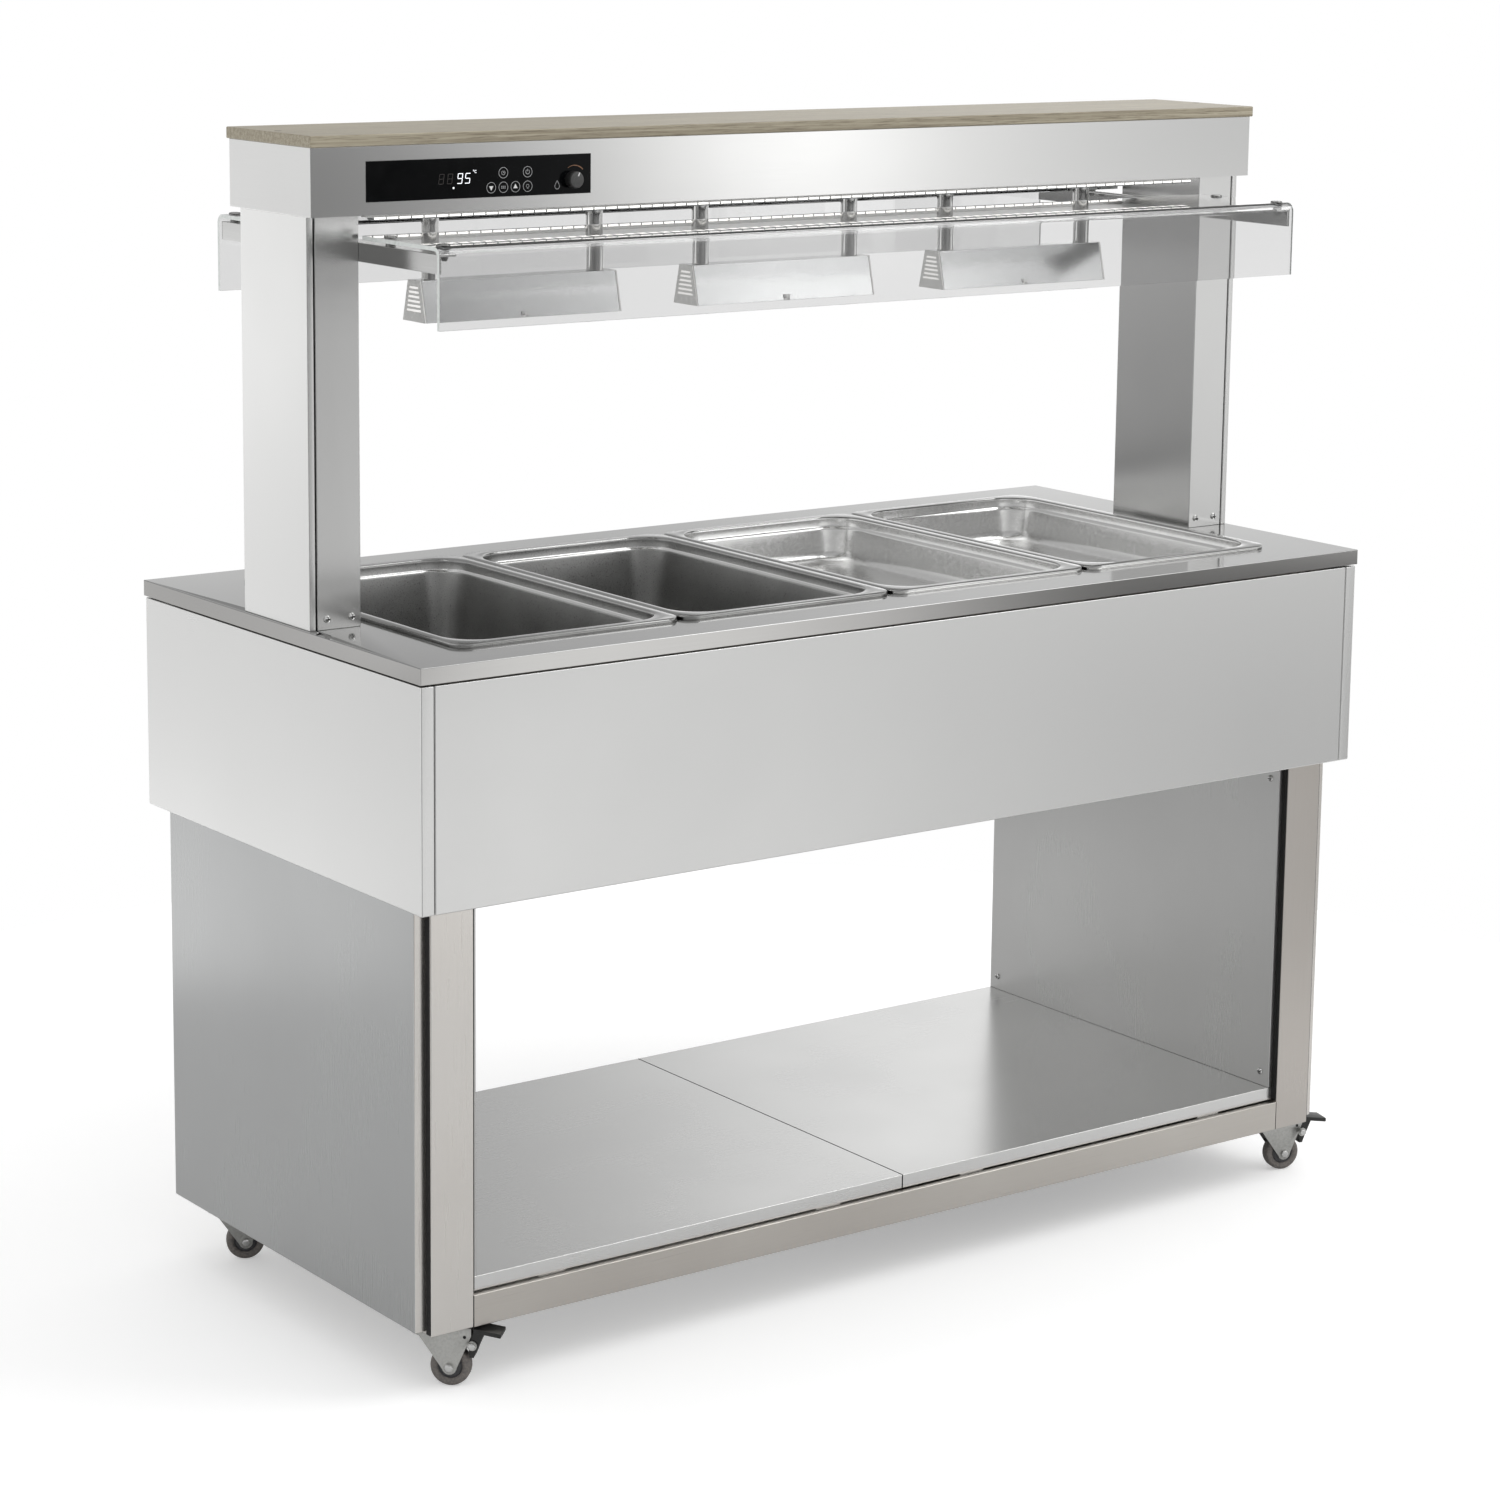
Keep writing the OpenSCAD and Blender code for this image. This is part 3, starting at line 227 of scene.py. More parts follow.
# Enamel, ceramic, rubber, plastic and print in the same order: an even colour with a soft gloss
coats = {
    "cap": ("whiteEnamelledSheet", "#ECECEA", "#E5E5E3", 0.25, 6.0, 0.05),
    "ceramic": ("glazedCeramic", "#E2DFD8", "#D6D2CA", 0.35, 5.0, 0.1),
    "tyre": ("greyRubberTyre", "#7A746F", "#605D5B", 0.62, 3.0, 0.35),
    "hub": ("greyNylonHub", "#4C4C4E", "#3E3E40", 0.5, 4.0, 0.15),
    "pedal": ("mouldedBlackNylon", "#222221", "#171716", 0.42, 2.0, 0.3),
    "plastic": ("mouldedBlackAbs", "#242424", "#1A1A1A", 0.45, 2.0, 0.2),
    "knobFace": ("spunGreyKnobFace", "#4A4A4A", "#3C3C3C", 0.4, 1.5, 0.2),
    # black rubber for the seals; the same black is painted as shadow in the rail seams, fork holes, screw crosses and
    # shelf joint
    "seal": ("blackRubberSealAndPaintedShadow", "#161616", "#0E0E0E", 0.7, 3.0, 0.3),
    "plug": ("darkBrownPlasticCap", "#4A382B", "#37291F", 0.5, 2.0, 0.15),
    "ledBase": ("whiteLedBoard", "#E4E4E2", "#DADAD8", 0.4, 8.0, 0.05),
    "printGrey": ("greyScreenPrint", "#B9BABB", "#A9AAAB", 0.5, 2.0, 0.0),
    "printDim": ("unlitDisplaySegment", "#26211E", "#1F1B18", 0.3, 2.0, 0.0),
    "printBronze": ("bronzeScreenPrint", "#8A6448", "#77543A", 0.5, 2.0, 0.0),
    "printWhite": ("whiteScreenPrint", "#E8E8E8", "#DDDDDD", 0.45, 2.0, 0.0),
    "lens": ("frostedDiffuser", "#9C9EA0", "#909294", 0.28, 5.0, 0.05),
    "glassEdge": ("groundGlassEdge", "#E6E9E7", "#D3D8D5", 0.2, 4.0, 0.02),
}
for key, look in smoothMetals.items():
    finishes[key] = mottledFinish(*look, metal=True)
for key, look in coats.items():
    finishes[key] = mottledFinish(*look)
# printed black from behind: deep and even, with only a faint gloss
finishes["blackGlass"] = mottledFinish("blackPrintedGlass", "#08090A", "#050607", 0.12, 30.0, 0.0, IOR=1.5,
                                       Specular_IOR_Level=0.12)


def clearGlass(name, tint, rough, stain):
    # drawn clear glass: sharp refraction, and light passes to what is behind it instead of leaving a dark shadow
    finish, tree, shader = newFinish(name, Transmission_Weight=1.0, IOR=1.5)
    spot = addNode(tree, "TexCoord").outputs["Object"]
    smear = addNode(tree, "TexNoise", {"Scale": 7.0, "Detail": 2.0}, {"Vector": spot})
    haze = addNode(tree, "MapRange", {"From Min": 0.4, "From Max": 0.7, "To Min": rough, "To Max": rough + stain},
                   {"Value": smear.outputs["Fac"]})
    shader.inputs["Base Color"].default_value = tone(tint)
    tree.links.new(haze.outputs[0], shader.inputs["Roughness"])
    ray = addNode(tree, "LightPath")
    through = addNode(tree, "BsdfTransparent", {"Color": tone(tint)})
    links = {0: ray.outputs["Is Shadow Ray"], 1: shader.outputs[0], 2: through.outputs[0]}
    both = addNode(tree, "MixShader", {}, links)
    tree.links.new(both.outputs[0], tree.nodes["Material Output"].inputs["Surface"])
    return finish


def glowing(name, colour, strength):
    # lit from inside: flat, bright and even, with a faint falloff between its lamps; on the louvres this glow is
    # painted light
    finish, tree, shader = newFinish(name, Roughness=0.4)
    shader.inputs["Base Color"].default_value = tone("#D8D8D8")
    spot = addNode(tree, "TexCoord").outputs["Object"]
    flicker = addNode(tree, "TexNoise", {"Scale": 40.0, "Detail": 1.0}, {"Vector": spot})
    level = addNode(tree, "MapRange", {"To Min": strength * 0.93, "To Max": strength * 1.07},
                    {"Value": flicker.outputs["Fac"]})
    shader.inputs["Emission Color"].default_value = tone(colour)
    tree.links.new(level.outputs[0], shader.inputs["Emission Strength"])
    return finish


def oakBoard(name):
    # grey-stained oak laminate: long pale and dark bands along X, short dark pores, matt with a slight sheen
    finish, tree, shader = newFinish(name, Specular_IOR_Level=0.4)
    bands = addNode(tree, "TexNoise", {"Scale": 1.0, "Detail": 5.0, "Roughness": 0.55, "Distortion": 0.35},
                    {"Vector": stretched(tree, "X", 4.2, 380)}).outputs["Fac"]
    pores = addNode(tree, "TexNoise", {"Scale": 1.0, "Detail": 3.0, "Roughness": 0.7},
                    {"Vector": stretched(tree, "X", 1.1, 42)}).outputs["Fac"]
    grain = addNode(tree, "MapRange", {"From Min": 0.34, "From Max": 0.66}, {"Value": bands})
    wood = addNode(tree, "MixRGB", {"Color1": tone("#8E8572"), "Color2": tone("#B0A894")}, {"Fac": grain.outputs[0]})
    poreMask = addNode(tree, "MapRange", {"From Min": 0.52, "From Max": 0.64, "To Max": 0.75}, {"Value": pores})
    dark = addNode(tree, "MixRGB", {"Color2": tone("#6B6150")},
                   {"Fac": poreMask.outputs[0], "Color1": wood.outputs["Color"]})
    gloss = addNode(tree, "MapRange", {"To Min": 0.3, "To Max": 0.46}, {"Value": bands})
    dress(tree, shader, dark.outputs["Color"], gloss.outputs[0], pores, 0.25, 0.3)
    return finish


finishes["glass"] = clearGlass("clearFloatGlass", "#E0E0E0", 0.0, 0.004)
finishes["quartz"] = clearGlass("fusedQuartzTube", "#FBE6CC", 0.05, 0.1)
finishes["led"] = glowing("litLedLens", "#FFFDF8", 1.35)
finishes["louvre"] = glowing("louvrePaintedGlow", "#FFFDFA", 0.6)
finishes["digit"] = glowing("litDisplaySegment", "#F4F8FF", 1.1)
finishes["oak"] = oakBoard("greyOakLaminate")
print("finishes made:", len(finishes))


def placed(x, y, z):
    # a place in mm
    return Matrix.Translation((x * mm, y * mm, z * mm))


def rotated(angle, axis):
    return Matrix.Rotation(rad(angle), 4, axis)


def slab(bm, low, high):
    # a block between two corners in mm
    middle = Vector([(a + b) / 2 * mm for a, b in zip(low, high)])
    size = Matrix.Diagonal([*((b - a) * mm for a, b in zip(low, high)), 1.0])
    return bmesh.ops.create_cube(bm, size=1.0, matrix=Matrix.Translation(middle) @ size)["verts"]


def bevelEdges(bm, edges, width, steps=2):
    bmesh.ops.bevel(bm, geom=edges, offset=width * mm, offset_type="OFFSET", segments=steps, profile=0.5,
                    affect="EDGES", clamp_overlap=True, material=-1)


def brokenSlab(bm, low, high, width, steps=2):
    # a block with all its edges broken
    verts = slab(bm, low, high)
    bevelEdges(bm, list({e for v in verts for e in v.link_edges}), width, steps)


def coat(bm, index):
    for face in bm.faces:
        face.material_index = index


def addPart(bm, part, place=None):
    # adds a part, moved to its place, to the piece being made, and frees it
    if place is not None:
        bmesh.ops.transform(part, matrix=place, verts=part.verts)
    carrier = bpy.data.meshes.new("carrier")
    part.to_mesh(carrier)
    part.free()
    bm.from_mesh(carrier)
    bpy.data.meshes.remove(carrier)


def turned(profile, steps=32, close=False):
    # a profile of (radius, height) in mm spun once round Z
    part = bmesh.new()
    verts = [part.verts.new((r * mm, 0, z * mm)) for r, z in profile]
    pairs = list(zip(verts, verts[1:])) + ([(verts[-1], verts[0])] if close else [])
    edges = [part.edges.new(pair) for pair in pairs]
    bmesh.ops.spin(part, geom=verts + edges, cent=(0, 0, 0), axis=(0, 0, 1), angle=rad(360), steps=steps,
                   use_merge=True)
    bmesh.ops.remove_doubles(part, verts=part.verts, dist=1e-6)
    bmesh.ops.recalc_face_normals(part, faces=part.faces)
    return part


def makePiece(name, bm, finish, stands=(), body="island", smooth=32):
    mesh = bpy.data.meshes.new(name)
    bm.to_mesh(mesh)
    bm.free()
    for each in finish if isinstance(finish, list) else [finish]:
        mesh.materials.append(finishes[each])
    mesh.shade_smooth()
    mesh.set_sharp_from_angle(angle=rad(smooth))
    piece = bpy.data.objects.new(name, mesh)
    bpy.context.scene.collection.objects.link(piece)
    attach(piece, body)
    if stands:
        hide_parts(*stands)
    return piece


def bodyOf(node):
    return frame["nodes"][node]["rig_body"]


def nodePiece(node, bm, finish, smooth=32):
    # the piece that stands for a CAD node, named after it: fork_front_left becomes forkFrontLeft
    first, *rest = node.split("_")
    name = first + "".join(word.title() for word in rest)
    return makePiece(name, bm, finish, [node], body=bodyOf(node), smooth=smooth)


def foldedCopy(node, width, steps=2):
    # a CAD node's mesh, its triangles merged into whole faces, with its bends and broken edges
    bm = bmesh.new()
    bm.from_mesh(frame["nodes"][node].data)
    bmesh.ops.remove_doubles(bm, verts=bm.verts, dist=1e-5)
    bmesh.ops.dissolve_limit(bm, angle_limit=rad(1), verts=bm.verts, edges=bm.edges)
    coat(bm, 0)
    # outer edges whose two faces are both broad enough to carry a bend of this radius
    chosen = []
    for e in bm.edges:
        if len(e.link_faces) != 2 or not e.is_convex or e.calc_face_angle(0) < rad(30):
            continue
        length = e.calc_length()
        if length > 4 * width * mm and min(f.calc_area() for f in e.link_faces) / length > 2.2 * width * mm:
            chosen.append(e)
    bevelEdges(bm, chosen, width, steps)
    return bm


# Sheet, tube and board: CAD nodes, radius of their bends in mm, finish, steps of a bend; then the axis of the faces
# that look another way than the main face, or side for all round, and their own finish. On the counter, skirts,
# end panels, covers and beam the two finishes are one steel in two tones, painted light and shade
sheetForms = {
    "counter_top": (2.4, "counter", 3, "side", "counterEdge"),
    "skirt_front skirt_back": (1.6, "panelX", 2),
    "skirt_left skirt_right": (1.6, "panelY", 2, "y", "panelX"),
    "end_panel_left end_panel_right": (1.6, "panelLow", 2, "y", "frameLit"),
    "liner_left liner_right": (1.2, "liner", 2),
    # two posts take the frame's steel painted lighter, as painted light
    "post_front_left": (1.8, "frameLit", 3),
    "post_front_right post_back_left": (1.8, "frame", 3),
    "post_back_right": (1.8, "frameLit", 3),
    "bottom_rails": (1.8, "rail", 3),
    "shelf_left shelf_right": (1.6, "shelf", 2),
    "upright_left upright_right": (2.0, "upright", 3),
    "upright_covers": (1.2, "cover", 2, "y", "upright"),
    "beam_shell": (2.0, "beam", 3, "x", "beamEnd"),
    "top_board": (1.4, "oak", 2),
    "guard_bars": (0.8, "bars", 2),
    "lamp_housings": (0.5, "lamp", 2),
    "lamp_end_caps": (0.8, "cap", 2),
    "control_glass": (0.5, "blackGlass", 2),
    "guard_glass_front guard_glass_back": (0.7, "glass", 2, "x", "glassEdge"),
    "caster_plates": (0.6, "zinc", 2),
}
# the joint of the two shelf sheets is painted black as its shadow
jointShadowForm = {"nodes": ("shelf_left", "shelf_right"), "half": 1.3}  # the dark joint of the two shelf sheets, in mm


def sheetPiece(node, width, finish, steps, axis=None, *second):
    bm = foldedCopy(node, width, steps)
    for face in bm.faces if axis else ():
        lean = 1 - abs(face.normal.z) if axis == "side" else abs(getattr(face.normal, axis))
        face.material_index = 1 if lean > 0.85 else 0
    piece = nodePiece(node, bm, [finish, *second])
    flatten = piece.modifiers.new("flatFaces", "WEIGHTED_NORMAL")  # broad faces stay flat, bends stay round
    flatten.keep_sharp = True
    # faces at the joint take the black finish as painted shadow
    if node in jointShadowForm["nodes"]:
        piece.data.materials.append(finishes["seal"])
        for face in piece.data.polygons:
            if abs(face.center.x) < jointShadowForm["half"] * mm:
                face.material_index = 1


for nodes, values in sheetForms.items():
    for node in nodes.split():
        sheetPiece(node, *values)
print("sheet, tube and board pieces made")


# Hidden or plain nodes keep their own shape and get their finish
plainNodes = {
    "well_tank": "well", "well_heater": "element", "drain_outlet": "well", "bottom_cover": "well",
    "top_frame": "rail", "beam_tray": "tray", "cable_gland": "plastic", "control_module": "plastic",
}
for node, finish in plainNodes.items():
    mesh = frame["nodes"][node].data
    mesh.materials.clear()
    mesh.materials.append(finishes[finish])


def roundLoop(bm, size, radius, height, steps):
    # one rounded rectangle of edges, in mm, its corners cut from a plain grid cell
    across = Matrix.Diagonal([size[0] * mm, size[1] * mm, 1, 1])
    corners = bmesh.ops.create_grid(bm, x_segments=1, y_segments=1, size=0.5, matrix=placed(0, 0, height) @ across)
    bmesh.ops.bevel(bm, geom=corners["verts"], offset=radius * mm, offset_type="OFFSET", segments=steps, profile=0.5,
                    affect="VERTICES", clamp_overlap=False, material=-1)
    level = [f for f in bm.faces if all(abs(v.co.z - height * mm) < 1e-7 for v in f.verts)]
    face = max(level, key=lambda f: f.calc_area())
    edges = list(face.edges)
    bmesh.ops.delete(bm, geom=[face], context="FACES_ONLY")
    return edges


# Food pans in millimetres from the rim's top face, as the drawing has them
panForm = {
    "rim": (325, 530), "rimRadius": 22, "rimHeight": 5, "mouth": (298, 503), "mouthRadius": 47, "cornerSteps": 12,
    "shoulder": 14, "ledge": 3, "draft": 0.06, "floorRadius": 16, "wall": 1.0, "dish": 0.6, "floorInset": 18,
    "top": 905, "pitch": 327.5, "depths": {"pan_1": 150, "pan_2": 150, "pan_3": 65, "pan_4": 65}, "deep": 100,
}


def foodPan(index, node, depth):
    p = panForm
    wide, long = p["rim"]
    inner, innerLong = p["mouth"]
    low, ledge, curve = -p["shoulder"], p["ledge"], p["floorRadius"]
    depth -= p["wall"] + p["dish"]
    draft = p["draft"] * depth
    # inset of each ring from the rim's outline or the mouth, and its height
    rim = [(0.0, -p["rimHeight"]), (0.0, -1.8), (0.5, -0.6), (1.7, 0.0)]
    body = [(-3.0, 0.0), (-1.0, -0.5), (-0.1, -2.0), (0.0, -4.0), (0.0, low + 1.0), (0.7, low - 0.6),
            (ledge - 0.4, low - 2.2), (ledge, low - 4.5)]
    body += [(ledge + draft * t, low - 4.5 - (depth - curve + low - 4.5) * t) for t in (0.5, 1.0)]
    body += [(ledge + draft + curve * (1 - math.cos(rad(a))), -depth + curve * (1 - math.sin(rad(a))))
             for a in (22, 45, 68, 90)]
    bm = bmesh.new()
    loops = [roundLoop(bm, (wide - 2 * i, long - 2 * i), p["rimRadius"] - i, z, p["cornerSteps"]) for i, z in rim]
    for i, z in body:
        radius = p["mouthRadius"] - min(i, 20)
        loops.append(roundLoop(bm, (inner - 2 * i, innerLong - 2 * i), radius, z, p["cornerSteps"]))
    for first, second in zip(loops, loops[1:]):
        bmesh.ops.bridge_loops(bm, edges=first + second)
    floor = bmesh.ops.contextual_create(bm, geom=loops[-1])["faces"]
    bmesh.ops.inset_region(bm, faces=floor, thickness=p["floorInset"] * mm, depth=-p["dish"] * mm,
                           use_even_offset=True)
    bmesh.ops.recalc_face_normals(bm, faces=bm.faces)
    if sum(f.normal.z * f.calc_area() for f in bm.faces) < 0:
        bmesh.ops.reverse_faces(bm, faces=bm.faces)
    # rim, shoulder and wall bands take their painted tones
    for face in bm.faces:
        height = face.calc_center_median().z / mm
        face.material_index = 0 if height > -2.6 else 2 if low - 2.0 < height < low + 1.0 else 1
    bmesh.ops.transform(bm, matrix=placed((index - 1.5) * p["pitch"], 0, p["top"]), verts=bm.verts)
    # deep pans take the wall painted as shade, shallow ones the paler copy
    wall = "panWall" if depth > p["deep"] else "panSatin"
    pan = makePiece("foodPan" + node[-1], bm, ["panRim", wall, "panShoulder"], [node], body=bodyOf(node), smooth=40)
    skin = pan.modifiers.new("sheet", "SOLIDIFY")
    skin.thickness, skin.offset, skin.use_even_offset = p["wall"] * mm, -1, True


for index, (node, depth) in enumerate(panForm["depths"].items()):
    foodPan(index, node, depth)
print("food pans made")


# Casters: places as in the drawing, in mm and degrees; modelled with the swivel on Z and the wheel towards +X
casterForm = {
    "x": 691, "y": 257, "turns": {"front_left": -45, "front_right": -17, "back_left": -25, "back_right": -25},
    "trail": 28, "axleHeight": 25, "treadWidth": 18, "forkHalf": 10.5, "legOuter": 12.5, "boltFace": 14.0,
    "lipBack": 14, "lipFront": 40, "lipLow": 68.5, "lipHigh": 4.2, "lipProud": 1.5, "dimple": 6.4,
    "holes": {"front": (47, 64.5), "back": (-2, 62)},
}
ribForm = {"count": 4, "x": 77, "pitch": 3.4, "wide": 1.6, "half": 11.5, "low": 68.2, "high": 72.6, "fall": 0.35}


def casterPlace(corner):
    sideX = 1 if "right" in corner else -1
    sideY = 1 if "back" in corner else -1
    return placed(sideX * casterForm["x"], sideY * casterForm["y"], 0) @ rotated(casterForm["turns"][corner], "Z")


def onLeg(place, side, x, y, z):
    # a place on one side of a caster, looking outwards
    return place @ placed(x, -side * y, z) @ rotated(90 * side, "X")


def mirror(profile):
    return [(r, -z) for r, z in reversed(profile)]


def wheelPart():
    # grey tyre on a nylon hub, spun round the axle
    half = casterForm["treadWidth"] / 2
    hub = casterForm["forkHalf"] - 0.3
    part = bmesh.new()
    flank = [(15.2, half - 2.2), (17, half - 0.4), (20, half), (22.6, half - 0.5), (24.3, half - 2.0),
             (24.9, half - 4.5)]
    addPart(part, turned(flank + [(25, 0)] + mirror(flank), 64))
    web = [(3.1, hub), (7.4, hub), (8, hub - 0.6), (8, half - 1.8), (9, half - 2.6), (13.6, half - 2.6),
           (14.6, half - 1.4), (15.4, half - 2.2)]
    core = turned(web + mirror(web), 64, close=True)
    coat(core, 1)
    addPart(part, core)
    return part


def forkPart(corner, place):
    c = casterForm
    bm = foldedCopy("fork_" + corner, 0.7)
    # rolled lip where each leg turns into the swivel head, and pressed dimple rims on the outside of the legs
    for side in bothSides:
        lip = bmesh.new()
        high = c["lipLow"] + c["lipHigh"]
        slab(lip, (-c["lipBack"], -c["lipProud"], c["lipLow"]), (c["lipFront"], c["lipProud"], high))
        bevelEdges(lip, [e for e in lip.edges if abs(e.verts[0].co.x - e.verts[1].co.x) > 0.01], 1.0, 4)
        addPart(bm, lip, place @ placed(0, -side * (c["legOuter"] - 0.4), 0))
    r = c["dimple"]
    for side in bothSides:
        ring = turned([(r, 0), (r + 0.2, 0.35), (r + 1.0, 0.35), (r + 1.6, 0)], 40)
        addPart(bm, ring, onLeg(place, side, c["trail"], c["legOuter"] - 0.05, c["axleHeight"]))
    return bm


def axlePart(corner, place):
    bm = foldedCopy("axle_" + corner, 0.4)
    for side in bothSides:
        head = bmesh.new()
        bmesh.ops.create_cone(head, cap_ends=True, segments=6, radius1=4.1 * mm, radius2=3.7 * mm, depth=1.2 * mm,
                              matrix=placed(0, 0, 0.5))
        addPart(bm, head, onLeg(place, side, casterForm["trail"], casterForm["boltFace"], casterForm["axleHeight"]))
    return bm


for corner in casterForm["turns"]:
    place = casterPlace(corner)
    bm = bmesh.new()
    addPart(bm, wheelPart(), place @ placed(casterForm["trail"], 0, casterForm["axleHeight"]) @ rotated(90, "X"))
    nodePiece("wheel_" + corner, bm, ["tyre", "hub"], smooth=40)
    nodePiece("fork_" + corner, forkPart(corner, place), "zinc", smooth=35)
    nodePiece("axle_" + corner, axlePart(corner, place), "bolt", smooth=40)

    # a black disc on the outside of each leg, painted as the shadow in its hole
    bm = bmesh.new()
    x, z = casterForm["holes"][corner.split("_")[0]]
    for side in bothSides:
        disc = turned([(0, 0.12), (1.9, 0.12), (2.1, 0)], 24)
        addPart(bm, disc, onLeg(place, side, x, casterForm["legOuter"], z))
    name = "forkHoles" + corner.title().replace("_", "")
    makePiece(name, bm, "seal", body=bodyOf("fork_" + corner))

    if "front" in corner:
        bm = foldedCopy("pedal_" + corner, 0.9, 3)
        ribs = bmesh.new()
        for i in range(ribForm["count"]):
            x, half = ribForm["x"] + i * ribForm["pitch"], ribForm["half"]
            top = ribForm["high"] - i * ribForm["fall"]
            brokenSlab(ribs, (x, -half, ribForm["low"]), (x + ribForm["wide"], half, top), 0.35)
        addPart(bm, ribs, place)
        nodePiece("pedal_" + corner, bm, "pedal", smooth=40)
print("casters made")


# Screws in mm: plain heads, domed and cross-slotted, their shanks as in the drawing
screwForm = {
    "radius": 4.75, "height": 2.9, "shank": 2.5, "slot": 0.6,
    "cover": {"x": 705, "spread": 17, "y": 80, "z": 913, "length": 8},
    "liner": {"x": 652.5, "y": 286, "z": (160, 580.5), "length": 14.5},
    "board": {"x": 738, "z": 1490.65},
    "guard": {"x": 661, "y": (130, 248), "nut": 1358.3},
}


def domedScrew(length):
    # a pan head with a black four-armed cross on its crown, painted shade standing for the recess
    radius, height, shank, slot = (screwForm[key] for key in ("radius", "height", "shank", "slot"))
    part = turned([(0, height), (radius * 0.45, height * 0.97), (radius * 0.8, height * 0.72),
                   (radius * 0.97, height * 0.3), (radius, 0), (shank, 0), (shank, -length), (0, -length)], 28)
    cross = bmesh.new()
    arm = radius * 0.6
    for x, y in ((arm, slot), (slot, arm)):
        slab(cross, (-x, -y, height - 0.6), (x, y, height + 0.08))
    coat(cross, 1)
    addPart(part, cross)
    return part


bm = bmesh.new()
for sideX, sideY in fourCorners:
    form = screwForm["cover"]
    for offset in (-form["spread"], form["spread"]):
        addPart(bm, domedScrew(form["length"]),
                placed(sideX * form["x"] + offset, -sideY * form["y"], form["z"]) @ rotated(90 * sideY, "X"))
    form = screwForm["liner"]
    for z in form["z"]:
        addPart(bm, domedScrew(form["length"]),
                placed(sideX * form["x"], sideY * form["y"], z) @ rotated(-90 * sideX, "Y"))
makePiece("screwHeads", bm, ["bolt", "seal"], ["screws"])

bm = bmesh.new()
for sideX in bothSides:
    cap = turned([(0, 1.3), (4.7, 1.29), (5.0, 1.1), (5.0, 0), (2, 0), (2, -16), (0, -16)], 32)
    addPart(bm, cap, placed(sideX * screwForm["board"]["x"], 0, screwForm["board"]["z"]))
makePiece("boardScrewCaps", bm, "plug")

bm = bmesh.new()
for sideX, sideY in fourCorners:
    for y in screwForm["guard"]["y"]:
        spot = placed(sideX * screwForm["guard"]["x"], sideY * y, 0)
        addPart(bm, turned([(0, 1374.5), (5.6, 1374.4), (7.2, 1374.0), (8, 1373.0), (8, 1372.05), (3, 1372.05),
                            (3, 1367.0), (6, 1367.0), (6, 1363.0), (3, 1363.0), (3, 1360), (0, 1360)], 36), spot)
        nut = bmesh.new()
        bmesh.ops.create_cone(nut, cap_ends=True, segments=6, radius1=4.6 * mm, radius2=4.6 * mm, depth=3.4 * mm,
                              matrix=placed(0, 0, screwForm["guard"]["nut"]))
        sharp = [e for e in nut.edges if len(e.link_faces) == 2 and e.calc_face_angle(0) > rad(30)]
        bevelEdges(nut, sharp, 0.35)
        addPart(bm, nut, spot)
        addPart(bm, turned([(3.9, 1356.8), (3.7, 1355.6), (2.8, 1354.5), (1.2, 1354.0), (0, 1353.95)], 28), spot)
nodePiece("guard_screws", bm, "domeNut")
print("screws made")


# Heat lamps in mm: a clear tube with its coil between two ceramic blocks; a spring clip under each mouth's edge
lampForm = {
    "at": (-406, 0, 406), "tubeHeight": 1270, "tubeHalf": 132, "tubeRadius": 5, "blockHalf": 8, "blocks": (126, 142),
    "coilRadius": 2.0, "coilWire": 0.5, "coilTurns": 40, "coilHalf": 118,
    "clipY": 25.2, "clipSheet": 0.8, "clipHalf": 5, "clipLow": 1254.2, "clipHigh": 1262,
}
bm, glow = bmesh.new(), bmesh.new()
for x in lampForm["at"]:
    lying = placed(x, 0, lampForm["tubeHeight"]) @ rotated(90, "Y")
    half, r = lampForm["tubeHalf"], lampForm["tubeRadius"]
    addPart(bm, turned([(0, -half), (3.6, -half), (r, -half + 2), (r, half - 2), (3.6, half), (0, half)], 32), lying)
    part = bmesh.new()
    side, (near, far) = lampForm["blockHalf"], lampForm["blocks"]
    for low, high in ((near, far), (-far, -near)):
        brokenSlab(part, (-side, -side, low), (side, side, high), 1.2)
    coat(part, 1)
    addPart(bm, part, lying)
    # heater coil, spun and lifted turn by turn along the tube
    coil = bmesh.new()
    start = placed(lampForm["coilRadius"], 0, -lampForm["coilHalf"]) @ rotated(90, "X")
    ring = bmesh.ops.create_circle(coil, segments=5, radius=lampForm["coilWire"] * mm, matrix=start)
    steps = lampForm["coilTurns"] * 10
    bmesh.ops.spin(coil, geom=ring["verts"] + list(coil.edges), cent=(0, 0, 0), axis=(0, 0, 1),
                   dvec=(0, 0, 2 * lampForm["coilHalf"] * mm / steps), angle=rad(360) * lampForm["coilTurns"],
                   steps=steps, use_merge=False)
    bmesh.ops.recalc_face_normals(coil, faces=coil.faces)
    addPart(glow, coil, lying)
nodePiece("lamp_tubes", bm, ["quartz", "ceramic"], smooth=40)
makePiece("lampCoils", glow, "element")

bm = bmesh.new()
for x in lampForm["at"]:
    for side in bothSides:
        y, sheet, half = side * lampForm["clipY"], lampForm["clipSheet"], lampForm["clipHalf"]
        brokenSlab(bm, (x - half, y - sheet, lampForm["clipLow"]), (x + half, y + sheet, lampForm["clipHigh"]), 0.4)
makePiece("lampClips", bm, "bolt")

